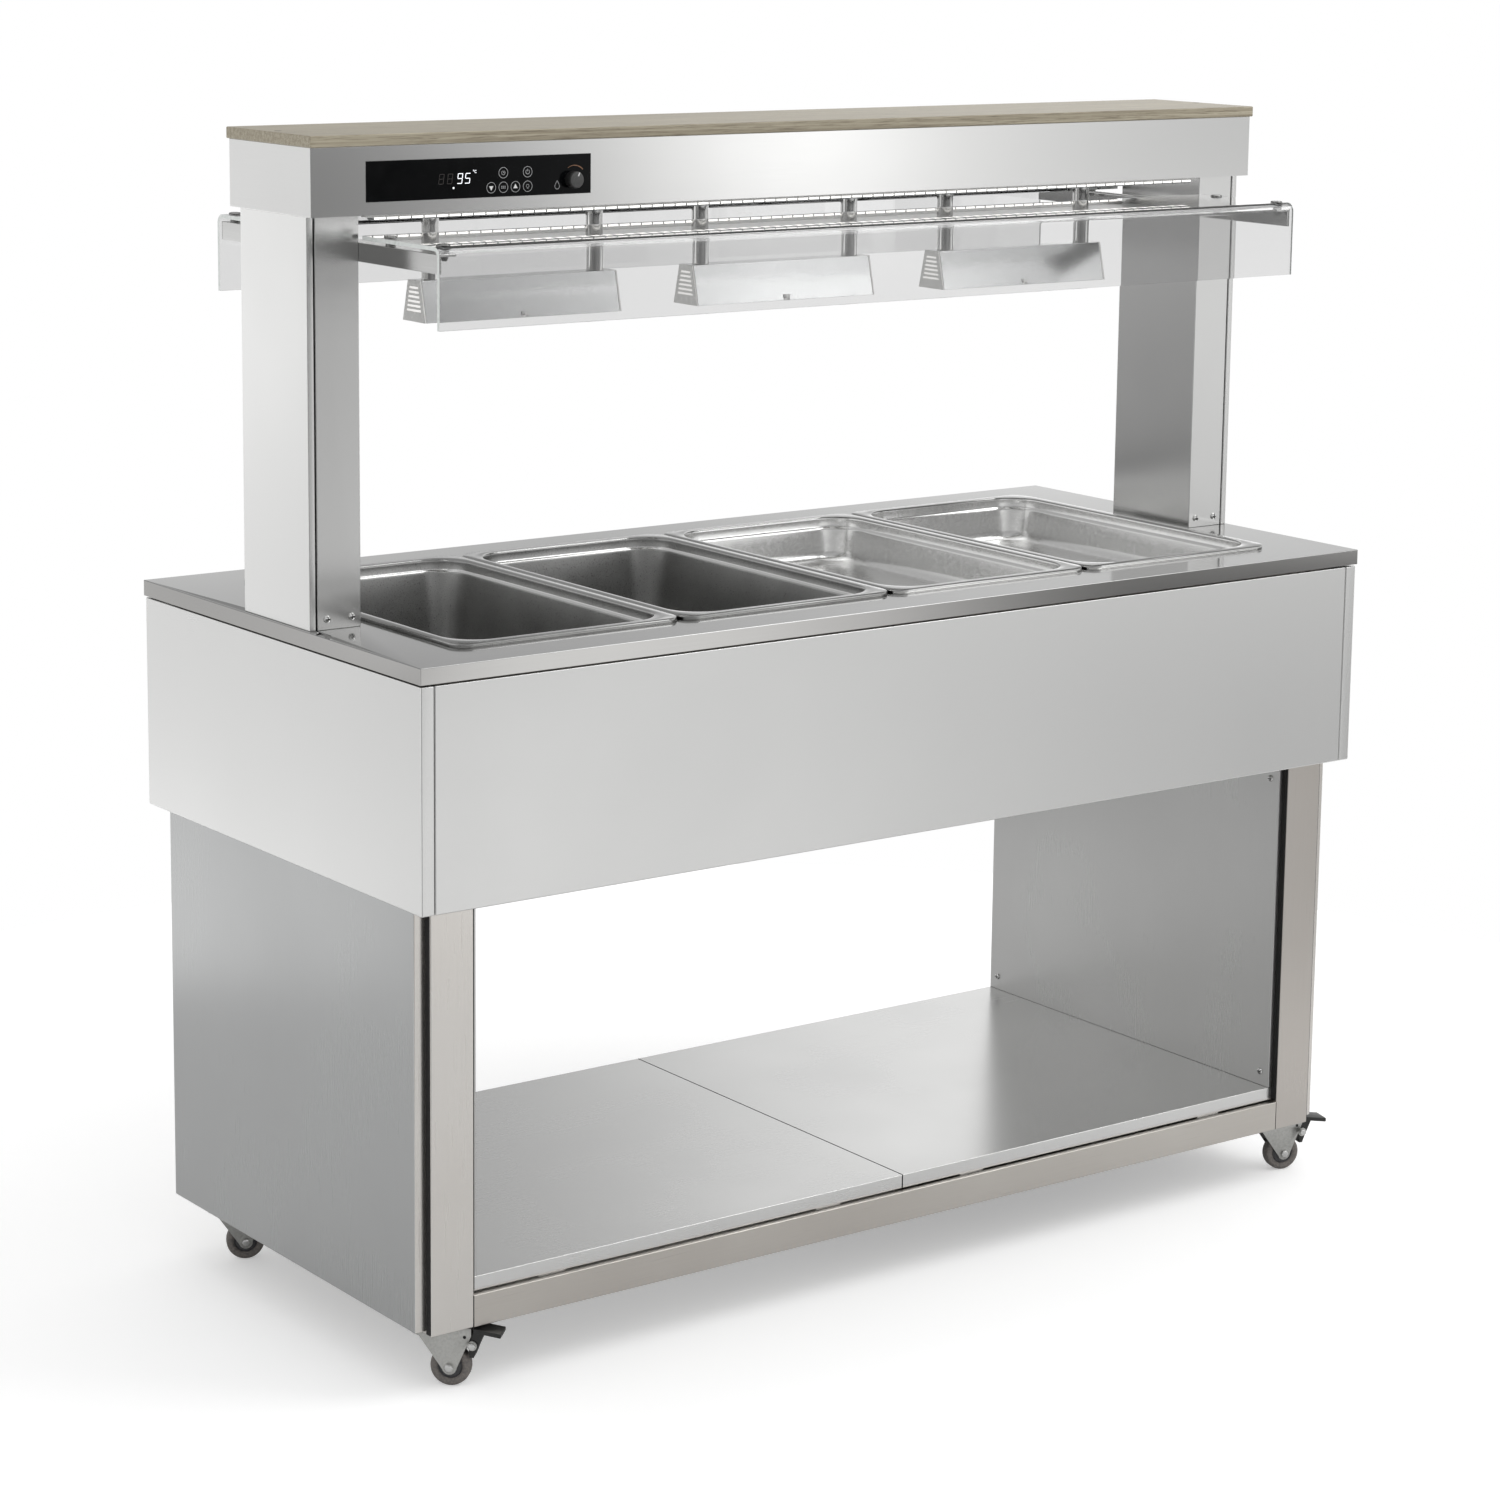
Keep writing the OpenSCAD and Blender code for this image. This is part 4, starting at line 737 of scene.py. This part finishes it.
# A slat pressed outwards under each vent of the end caps, glowing with painted light; low and pitch are shares of the
# cap's height
louvreForm = {
    "vents": 6, "low": 0.27, "pitch": 0.11, "foot": 1254, "height": 51, "mouth": 52, "top": 28, "margin": 12,
    "end": 143.6, "out": 2.4, "sheet": 0.5, "tilt": 70,
}
form = louvreForm
bm = bmesh.new()
for x in lampForm["at"]:
    for side in bothSides:
        for i in range(form["vents"]):
            share = form["low"] + form["pitch"] * i
            wide = form["mouth"] - (form["mouth"] - form["top"]) * share - form["margin"]
            slat = bmesh.new()
            brokenSlab(slat, (-0.2, -wide / 2, 0), (form["out"], wide / 2, form["sheet"]), 0.15, 1)
            tilt = rotated(0 if side > 0 else 180, "Z") @ rotated(form["tilt"], "Y")
            height = form["foot"] + form["height"] * share + 1.0
            addPart(bm, slat, placed(x + side * form["end"], 0, height) @ tilt)
makePiece("lampLouvres", bm, "louvre")


# Stems: polished tubes from the beam down to the lamps
stemForm = {"spread": 121, "radius": 11, "bore": 9.5, "low": 1305, "high": 1396, "edge": 0.3}
bm = bmesh.new()
for x in lampForm["at"]:
    for side in bothSides:
        r, bore, low, high, edge = (stemForm[key] for key in ("radius", "bore", "low", "high", "edge"))
        profile = [(r - edge, low), (r, low + edge), (r, high - edge), (r - edge, high), (bore, high), (bore, low)]
        addPart(bm, turned(profile, 48, close=True), placed(x + side * stemForm["spread"], 0, 0))
nodePiece("lamp_stems", bm, "bolt")


# Light strips: a white board with a frosted lens every 17.5 mm and a bright spot in each
stripForm = {
    "half": 663, "y": 75, "wide": 10, "low": 1392, "high": 1396, "pitch": 17.5, "count": 75, "lens": (7.9, 8, 4.2),
}
bm = bmesh.new()
for side in bothSides:
    y = side * stripForm["y"]
    brokenSlab(bm, (-stripForm["half"], y - stripForm["wide"], stripForm["low"]),
               (stripForm["half"], y + stripForm["wide"], stripForm["high"]), 0.4)
makePiece("lightBoards", bm, "ledBase", ["light_strips"])
bm, lens = bmesh.new(), bmesh.new()
halfX, halfY, deep = stripForm["lens"]
slab(lens, (-halfX, -halfY, -deep), (halfX, halfY, 0))
bevelEdges(lens, [e for e in lens.edges if max(v.co.z for v in e.verts) < -4 * mm], 1.6, 3)
for face in lens.faces:
    face.material_index = 1 if face.normal.z < -0.98 or abs(face.normal.y) > 0.98 else 0
for side in bothSides:
    for i in range(stripForm["count"]):
        x = (i - (stripForm["count"] - 1) / 2) * stripForm["pitch"]
        addPart(bm, lens.copy(), placed(x, side * stripForm["y"], stripForm["low"]))
lens.free()
makePiece("lightLenses", bm, ["lens", "led"])
print("lamps and lights made")


# Control glass: places in mm on its face; numbers, keys and scale are printed or lit from behind
panelForm = {
    "face": -99.5, "proud": 0.18,
    "digits": [(-576.4, "8", False), (-564.4, "8", False), (-550.3, "9", True), (-539.5, "5", True)],
    "digitLow": 1429.3, "digitHigh": 1441.8, "digitWide": 7.2, "slant": 0.14, "stroke": 0.85,
    "dot": (-555, 1424.5), "degree": (-526.6, 1444.6), "unit": (-523.6, 1443.2),
    "keys": [(-484.4, 1440.5), (-449.5, 1440.5), (-501.7, 1423.0), (-484.3, 1423.0), (-467.0, 1423.0),
             (-449.4, 1423.0)],
    "keyRadius": 6.4, "keyStroke": 0.55, "arrow": 3.6, "drop": (-406.7, 1422.5), "knob": (-385.5, 1429.1),
}
segmentsOf = {"8": "abcdefg", "9": "abcdfg", "5": "acdfg"}


def onGlass(x, z, out=0):
    # a place on the glass, looking outwards
    return placed(x, panelForm["face"] - out, z) @ rotated(90, "X")


def mark(bm, x0, z0, x1, z1, slantFrom=None):
    # a flat printed bar on the glass
    verts = slab(bm, (x0, panelForm["face"] - panelForm["proud"], z0), (x1, panelForm["face"], z1))
    if slantFrom is not None:
        for v in verts:
            v.co.x += (v.co.z - slantFrom * mm) * panelForm["slant"]
    return verts


def ringMark(bm, x, z, radius, stroke, arc=360, start=0, steps=36):
    # a printed ring or part of one, spun round the viewing axis
    proud = panelForm["proud"]
    part = bmesh.new()
    section = placed(radius, 0, 0) @ rotated(90, "X") @ Matrix.Diagonal([stroke * mm, proud * mm, 1, 1])
    bmesh.ops.create_grid(part, x_segments=1, y_segments=1, size=0.5, matrix=section)
    geom = [*part.verts, *part.edges, *part.faces]
    bmesh.ops.spin(part, geom=geom, cent=(0, 0, 0), axis=(0, 0, 1), angle=rad(arc), steps=steps, use_merge=arc == 360)
    bmesh.ops.remove_doubles(part, verts=part.verts, dist=1e-7)
    bmesh.ops.recalc_face_normals(part, faces=part.faces)
    addPart(bm, part, onGlass(x, z, proud / 2) @ rotated(start, "Z"))


def digitMarks(bm, x, name):
    low, high, wide, s = (panelForm[key] for key in ("digitLow", "digitHigh", "digitWide", "stroke"))
    middle = (low + high) / 2
    gap = 0.3
    bars = {
        "a": (x + s * 0.6, high - s, x + wide - s * 0.6, high), "d": (x + s * 0.6, low, x + wide - s * 0.6, low + s),
        "g": (x + s, middle - s / 2, x + wide - s, middle + s / 2),
        "f": (x, middle + gap, x + s, high - s * 0.6), "b": (x + wide - s, middle + gap, x + wide, high - s * 0.6),
        "e": (x, low + s * 0.6, x + s, middle - gap), "c": (x + wide - s, low + s * 0.6, x + wide, middle - gap),
    }
    for key in segmentsOf[name]:
        mark(bm, *bars[key], slantFrom=low)


lit, unlit = bmesh.new(), bmesh.new()
for x, name, on in panelForm["digits"]:
    digitMarks(lit if on else unlit, x, name)
addPart(lit, turned([(0, 0.18), (1.1, 0.18), (1.2, 0)], 20), onGlass(*panelForm["dot"]))
ringMark(lit, *panelForm["degree"], 0.7, 0.35, steps=16)
ringMark(lit, *panelForm["unit"], 1.5, 0.45, arc=260, start=50, steps=16)
makePiece("litDigits", lit, "digit")
makePiece("unlitDigits", unlit, "printDim")

keys, white = bmesh.new(), bmesh.new()
for x, z in panelForm["keys"]:
    ringMark(keys, x, z, panelForm["keyRadius"], panelForm["keyStroke"], steps=40)
clock, power, left, grid, right, bell = panelForm["keys"]
for (x, z), angle in ((left, 180), (right, 0)):
    arrow = bmesh.new()
    bmesh.ops.create_circle(arrow, cap_ends=True, segments=3, radius=panelForm["arrow"] * mm,
                            matrix=rotated(angle, "Z"))
    lifted = bmesh.ops.extrude_face_region(arrow, geom=list(arrow.faces))["geom"]
    bmesh.ops.translate(arrow, vec=(0, 0, panelForm["proud"] * mm),
                        verts=[v for v in lifted if isinstance(v, bmesh.types.BMVert)])
    bmesh.ops.recalc_face_normals(arrow, faces=arrow.faces)
    addPart(white, arrow, onGlass(x, z))
x, z = clock
ringMark(keys, x, z, 2.5, 0.5, arc=300, start=120, steps=20)
mark(keys, x - 0.25, z, x + 0.25, z + 2.2)
mark(keys, x, z - 0.25, x + 1.4, z + 0.25)
x, z = power
ringMark(keys, x, z, 2.7, 0.6, arc=290, start=125, steps=20)
mark(keys, x - 0.3, z + 0.6, x + 0.3, z + 3.6)
for i in (-1, 0, 1):
    x, z = grid[0] + i * 2.3, grid[1]
    mark(keys, x - 0.8, z - 1.5, x + 0.8, z - 0.9)
    mark(keys, x - 0.8, z + 0.9, x + 0.8, z + 1.5)
    mark(keys, x - 0.25, z - 0.9, x + 0.25, z + 0.9)
x, z = bell
ringMark(keys, x, z + 0.4, 2.0, 0.45, steps=20)
mark(keys, x - 1.0, z - 2.9, x + 1.0, z - 2.4)
x, z = panelForm["drop"]
ringMark(keys, x, z - 1.0, 3.4, 0.6, arc=250, start=145, steps=24)
for side in bothSides:
    verts = mark(keys, -0.3, 0, 0.3, 5.4)
    lean = placed(x, 0, z + 5.9) @ rotated(side * 31, "Y") @ placed(0, 0, -5.4)
    bmesh.ops.transform(keys, matrix=lean, verts=verts)
makePiece("keyMarks", keys, "printGrey")
makePiece("arrowMarks", white, "printWhite")

# The scale round the knob widens and moves outwards as the heat goes up
scaleForm = {"steps": 14, "from": 112, "step": 5.4, "arc": 5.6, "radius": 15.4, "out": 0.36, "wide": 0.5, "grow": 0.07}
scale = bmesh.new()
for i in range(scaleForm["steps"]):
    angle = scaleForm["from"] - i * scaleForm["step"]
    reach = scaleForm["radius"] + i * scaleForm["out"]
    wide = scaleForm["wide"] + i * scaleForm["grow"]
    ringMark(scale, *panelForm["knob"], reach, wide, arc=scaleForm["arc"], start=angle - scaleForm["arc"], steps=2)
makePiece("knobScale", scale, "printBronze")

knobForm = {"base": -100.0, "pointerTurn": -22}
bm = turned([(0, 12), (8.9, 12), (9.3, 11.9), (10.1, 11.2), (10.45, 10.2), (10.5, 1.2), (10.1, 0), (3, 0), (3, -15.5),
             (0, -15.5)], 64)
for face in bm.faces:
    if face.calc_center_median().z > 11.8 * mm:
        face.material_index = 1
pointer = bmesh.new()
slab(pointer, (-0.7, 5.0, 11.9), (0.7, 9.6, 12.1))
coat(pointer, 2)
addPart(bm, pointer, rotated(knobForm["pointerTurn"], "Z"))
x, z = panelForm["knob"]
bmesh.ops.transform(bm, matrix=placed(x, knobForm["base"], z) @ rotated(90, "X"), verts=bm.verts)
nodePiece("control_knob", bm, ["plastic", "knobFace", "printWhite"])
print("controls made")


# Black seals beside the posts, and black strips painted as the shadow in the fine seams where rails meet them: x, y
# and z in mm, the same at every corner
sealForm = {
    "outside": (721.0, 722.2, 302.2, 310.8, 82, 605), "inside": (659.8, 661.0, 303.2, 310.8, 122, 605),
    "seam": (660.7, 661.3, 271.5, 312.12, 80.4, 119.6),
}
bm = bmesh.new()
for sideX, sideY in fourCorners:
    for x0, x1, y0, y1, low, high in sealForm.values():
        xs, ys = sorted((sideX * x0, sideX * x1)), sorted((sideY * y0, sideY * y1))
        slab(bm, (xs[0], ys[0], low), (xs[1], ys[1], high))
makePiece("postSeals", bm, "seal")
print("seals made")


# Studio: white for the eye, an even pale light for matt things, and for metal a room in rings, as its own reflections
# show: dark flags beside one bright card in front, darker cards behind to the left, a dim wall behind the camera, a
# soft box overhead
studioRings = {  # sine of the height, then degrees from +X towards +Y, each with the brightness there
    -0.36: """-180 1.2, -150 0.65, -127 0.4, -100 0.5, -66 1.0, -58 1.15, -52 0.95, -44 0.66, -30 0.75, 0 0.85,
        60 0.85, 113 1.5, 117 1.5, 119.4 0.85, 121.5 0.66, 126 0.62, 130 1.2, 134.5 0.75, 142 0.75, 160 1.1,
        180 1.2""",
    -0.29: """-180 1.2, -150 0.6, -127 0.3, -100 0.5, -66 1.2, -60 1.6, -56 1.3, -52 0.95, -45 0.52, -30 0.75,
        0 0.85, 60 0.85, 113 2.1, 117.5 2.0, 119.5 0.8, 121.5 0.5, 126 0.62, 130 1.4, 134.5 0.75, 142 0.75,
        160 1.1, 180 1.2""",
    -0.23: """-180 1.2, -150 0.6, -127 0.3, -100 0.5, -66 0.95, -60 1.12, -52 0.84, -48 0.62, -44 0.4, -30 0.7,
        0 0.85, 60 0.85, 113 1.05, 117.5 0.95, 119.5 0.6, 121.5 0.22, 126 0.6, 130 1.35, 134.5 0.6, 142 0.75,
        160 1.1, 180 1.2""",
    -0.19: """-180 1.3, -150 0.6, -127 0.25, -100 0.4, -62 0.34, -59.2 0.45, -58 1.25, -53 1.15, -51 0.7, -48.5 0.1,
        -44 0.06, -30 0.7, 0 0.85, 60 0.85, 113 0.85, 117 0.68, 119.3 0.66, 121 0.95, 126 0.5, 131 0.08,
        135 0.08, 142 0.6, 160 1.1, 180 1.3""",
    -0.165: """-180 1.4, -150 0.6, -127 0.2, -100 0.4, -62 0.34, -59.2 0.45, -58 1.1, -53 1.1, -51 0.7, -48.5 0.12,
        -44 0.06, -30 0.75, 0 0.85, 60 0.88, 113 0.85, 117 0.7, 119.3 0.68, 123 0.7, 127 0.3, 131 0.04,
        136 0.06, 143 0.5, 160 1.2, 180 1.4""",
    -0.15: """-180 0.35, -150 0.25, -127 0.2, -100 0.4, -62 0.45, -58.5 0.6, -55 0.9, -50 0.95, -48 1.7, -45 2.0,
        -42 1.3, -30 0.8, 0 0.85, 60 0.9, 100 1.0, 113 1.15, 119.5 1.15, 124 0.6, 128.5 0.12, 132 0.02,
        137 0.06, 143 0.6, 148 1.3, 165 1.3, 172 0.4, 180 0.35""",
    -0.105: """-180 0.3, -150 0.18, -127 0.16, -105 0.3, -80 0.4, -63 0.3, -59 0.27, -54 1.0, -46.5 1.15, -40 0.9,
        -28 1.5, -12 0.7, 0 1.2, 60 1.4, 100 1.1, 119.5 1.3, 124 0.6, 128 0.18, 132 0.06, 138 0.14, 145 0.9,
        150 1.5, 165 1.4, 172 0.35, 180 0.3""",
    -0.068: """-180 0.3, -150 0.18, -127 0.16, -105 0.3, -85 0.4, -66 0.05, -59.4 0.05, -58 0.3, -56 0.9, -54.5 1.3,
        -53.2 2.6, -52 2.0, -50.4 0.85, -47 0.64, -42 0.7, -28 1.4, -12 0.7, 0 1.2, 55 1.4, 100 1.0, 119 0.98,
        126 0.6, 132 0.36, 138 0.35, 146 0.9, 150 1.5, 165 1.4, 172 0.35, 180 0.3""",
    -0.02: """-180 0.35, -150 0.25, -127 0.2, -105 0.35, -85 0.6, -60 0.6, -53 1.4, -47 0.8, 0 0.9, 40 1.4, 48 1.5,
        60 0.6, 80 0.7, 110 0.9, 124 0.7, 127 0.85, 129.3 1.1, 130.8 1.8, 134 1.6, 140 0.9, 150 1.2, 165 1.2,
        172 0.4, 180 0.35""",
    0.08: """-180 1.2, -150 0.6, -127 0.4, -105 0.8, -85 1.2, -60 1.3, -53 1.4, -47 1.2, 0 0.9, 42 1.4, 49 1.5,
        60 0.6, 80 0.7, 110 0.9, 127 0.9, 134 1.3, 150 0.9, 180 1.2""",
    0.17: """-180 1.1, -150 0.6, -110 0.7, -85 1.2, -60 1.3, -53 1.4, -47 1.2, 0 0.8, 44 0.78, 50 0.84, 56 0.7,
        62 0.95, 80 0.9, 110 0.9, 150 0.9, 180 1.1""",
    0.21: """-180 1.0, -150 0.6, -110 0.5, -85 0.6, -60 0.48, -57.5 0.66, -56.4 0.9, -55.5 1.45, -54 1.4,
        -52.8 1.8, -51.7 4.2, -50.8 3.9, -49.8 2.1, -48.3 1.3, -47.4 1.3, -46.5 0.7, -44 0.5, 0 0.65, 50 0.72,
        59 0.45, 110 0.7, 180 1.0""",
    0.3: """-180 0.8, -150 0.5, -110 0.4, -85 0.5, -60 0.48, -57.5 0.66, -56.4 0.9, -55.5 1.45, -54 1.4,
        -52.8 1.8, -51.7 4.5, -50.8 3.9, -49.8 2.1, -48.3 1.3, -47.4 1.3, -46.5 0.7, -44 0.5, 0 0.45, 42 0.7,
        46 1.15, 50 1.5, 53.5 1.15, 57 0.45, 64 0.45, 90 0.5, 180 0.8""",
    0.36: """-180 0.7, -150 0.5, -110 0.4, -60 0.45, -53 1.0, -48.3 0.5, 0 0.45, 46 0.9, 49.6 1.5, 53 1.05,
        57 0.42, 90 0.5, 180 0.7""",
    0.7: "-180 0.6, -60 0.7, 60 0.5, 180 0.6",
    0.92: "-180 1.5, 180 1.5",
}
studioForm = {
    "pale": (0.85, 0.85, 0.85, 1), "white": (1, 1, 1, 1), "strength": 1.0, "clearFrom": 0.42, "clearTo": 0.6,
    "floor": "#E8E8E8", "floorRadius": 1.9, "floorLift": 0.36, "lightAt": (3.2, -2.6, 4.6), "lightTo": (0, 0, 0.8),
    "lightSize": 3.0, "lightPower": 90,
}
world = bpy.data.worlds.new("studio")
bpy.context.scene.world = world
world.use_nodes = True
tree = world.node_tree
tree.nodes.clear()
way = addNode(tree, "SeparateXYZ", {}, {0: addNode(tree, "TexCoord").outputs["Generated"]})
heading = addNode(tree, "Math", {}, {0: way.outputs["Y"], 1: way.outputs["X"]}, operation="ARCTAN2")
share = addNode(tree, "MapRange", {"From Min": -math.pi, "From Max": math.pi}, {"Value": heading.outputs[0]})
room, below = None, None
for height, ring in studioRings.items():
    ramp = addNode(tree, "ValToRGB", {}, {"Fac": share.outputs[0]})
    stops = ramp.color_ramp.elements
    stops.remove(stops[-1])
    for i, pair in enumerate(ring.split(",")):
        angle, level = (float(part) for part in pair.split())
        stop = stops[0] if i == 0 else stops.new((angle + 180) / 360)
        stop.position = (angle + 180) / 360
        stop.color = (level, level, level, 1)
    if room:
        rise = addNode(tree, "MapRange", {"From Min": below, "From Max": height}, {"Value": way.outputs["Z"]})
        links = {"Fac": rise.outputs[0], "Color1": room, "Color2": ramp.outputs["Color"]}
        ramp = addNode(tree, "MixRGB", {}, links)
    room, below = ramp.outputs["Color"], height


def seenRays(tree, ray, clear=None):
    # what the camera sees directly or through glass, but not mirrored on the way there
    straight = addNode(tree, "Math", {1: 0.5}, {0: ray.outputs["Glossy Depth"]}, operation="LESS_THAN")
    through = ray.outputs["Is Transmission Ray"]
    if clear:
        through = addNode(tree, "Math", {}, {0: through, 1: clear}, operation="MULTIPLY").outputs[0]
    through = addNode(tree, "Math", {}, {0: through, 1: straight.outputs[0]}, operation="MULTIPLY")
    seen = addNode(tree, "Math", {}, {0: ray.outputs["Is Camera Ray"], 1: through.outputs[0]}, operation="MAXIMUM")
    return seen.outputs[0]


lean = addNode(tree, "Math", {}, {0: way.outputs["Z"]}, operation="ABSOLUTE")
clear = {"From Min": studioForm["clearFrom"], "From Max": studioForm["clearTo"], "To Min": 1.0, "To Max": 0.0}
clear = addNode(tree, "MapRange", clear, {"Value": lean.outputs[0]})
ray = addNode(tree, "LightPath")
seen = seenRays(tree, ray, clear.outputs[0])
links = {0: ray.outputs["Is Glossy Ray"], 1: ray.outputs["Is Transmission Ray"]}
glossy = addNode(tree, "Math", {}, links, operation="MAXIMUM")
sky = addNode(tree, "MixRGB", {"Color1": studioForm["pale"]}, {"Fac": glossy.outputs[0], "Color2": room})
shown = addNode(tree, "MixRGB", {"Color2": studioForm["white"]}, {"Fac": seen, "Color1": sky.outputs["Color"]})
light = addNode(tree, "Background", {"Strength": studioForm["strength"]}, {"Color": shown.outputs["Color"]})
addNode(tree, "OutputWorld", {}, {"Surface": light.outputs[0]})

bm = bmesh.new()
bmesh.ops.create_circle(bm, cap_ends=True, segments=96, radius=studioForm["floorRadius"])
mesh = bpy.data.meshes.new("floor")
bm.to_mesh(mesh)
bm.free()
floor = bpy.data.objects.new("floor", mesh)
bpy.context.scene.collection.objects.link(floor)
paper, tree, shader = newFinish("matWhiteFloor", Roughness=0.9, Specular_IOR_Level=0.1)
shader.inputs["Base Color"].default_value = tone(studioForm["floor"])
seen = seenRays(tree, addNode(tree, "LightPath"))
level = addNode(tree, "Math", {1: studioForm["floorLift"]}, {0: seen}, operation="MULTIPLY")
lift = addNode(tree, "Emission", {}, {"Strength": level.outputs[0]})
both = addNode(tree, "AddShader", {}, {0: shader.outputs[0], 1: lift.outputs[0]})
tree.links.new(both.outputs[0], tree.nodes["Material Output"].inputs["Surface"])
mesh.materials.append(paper)

key = bpy.data.objects.new("keyLight", bpy.data.lights.new("keyLight", "AREA"))
bpy.context.scene.collection.objects.link(key)
key.data.shape, key.data.size, key.data.energy = "SQUARE", studioForm["lightSize"], studioForm["lightPower"]
key.location = studioForm["lightAt"]
key.rotation_euler = (Vector(studioForm["lightTo"]) - key.location).to_track_quat("-Z", "Y").to_euler()
print("studio made")
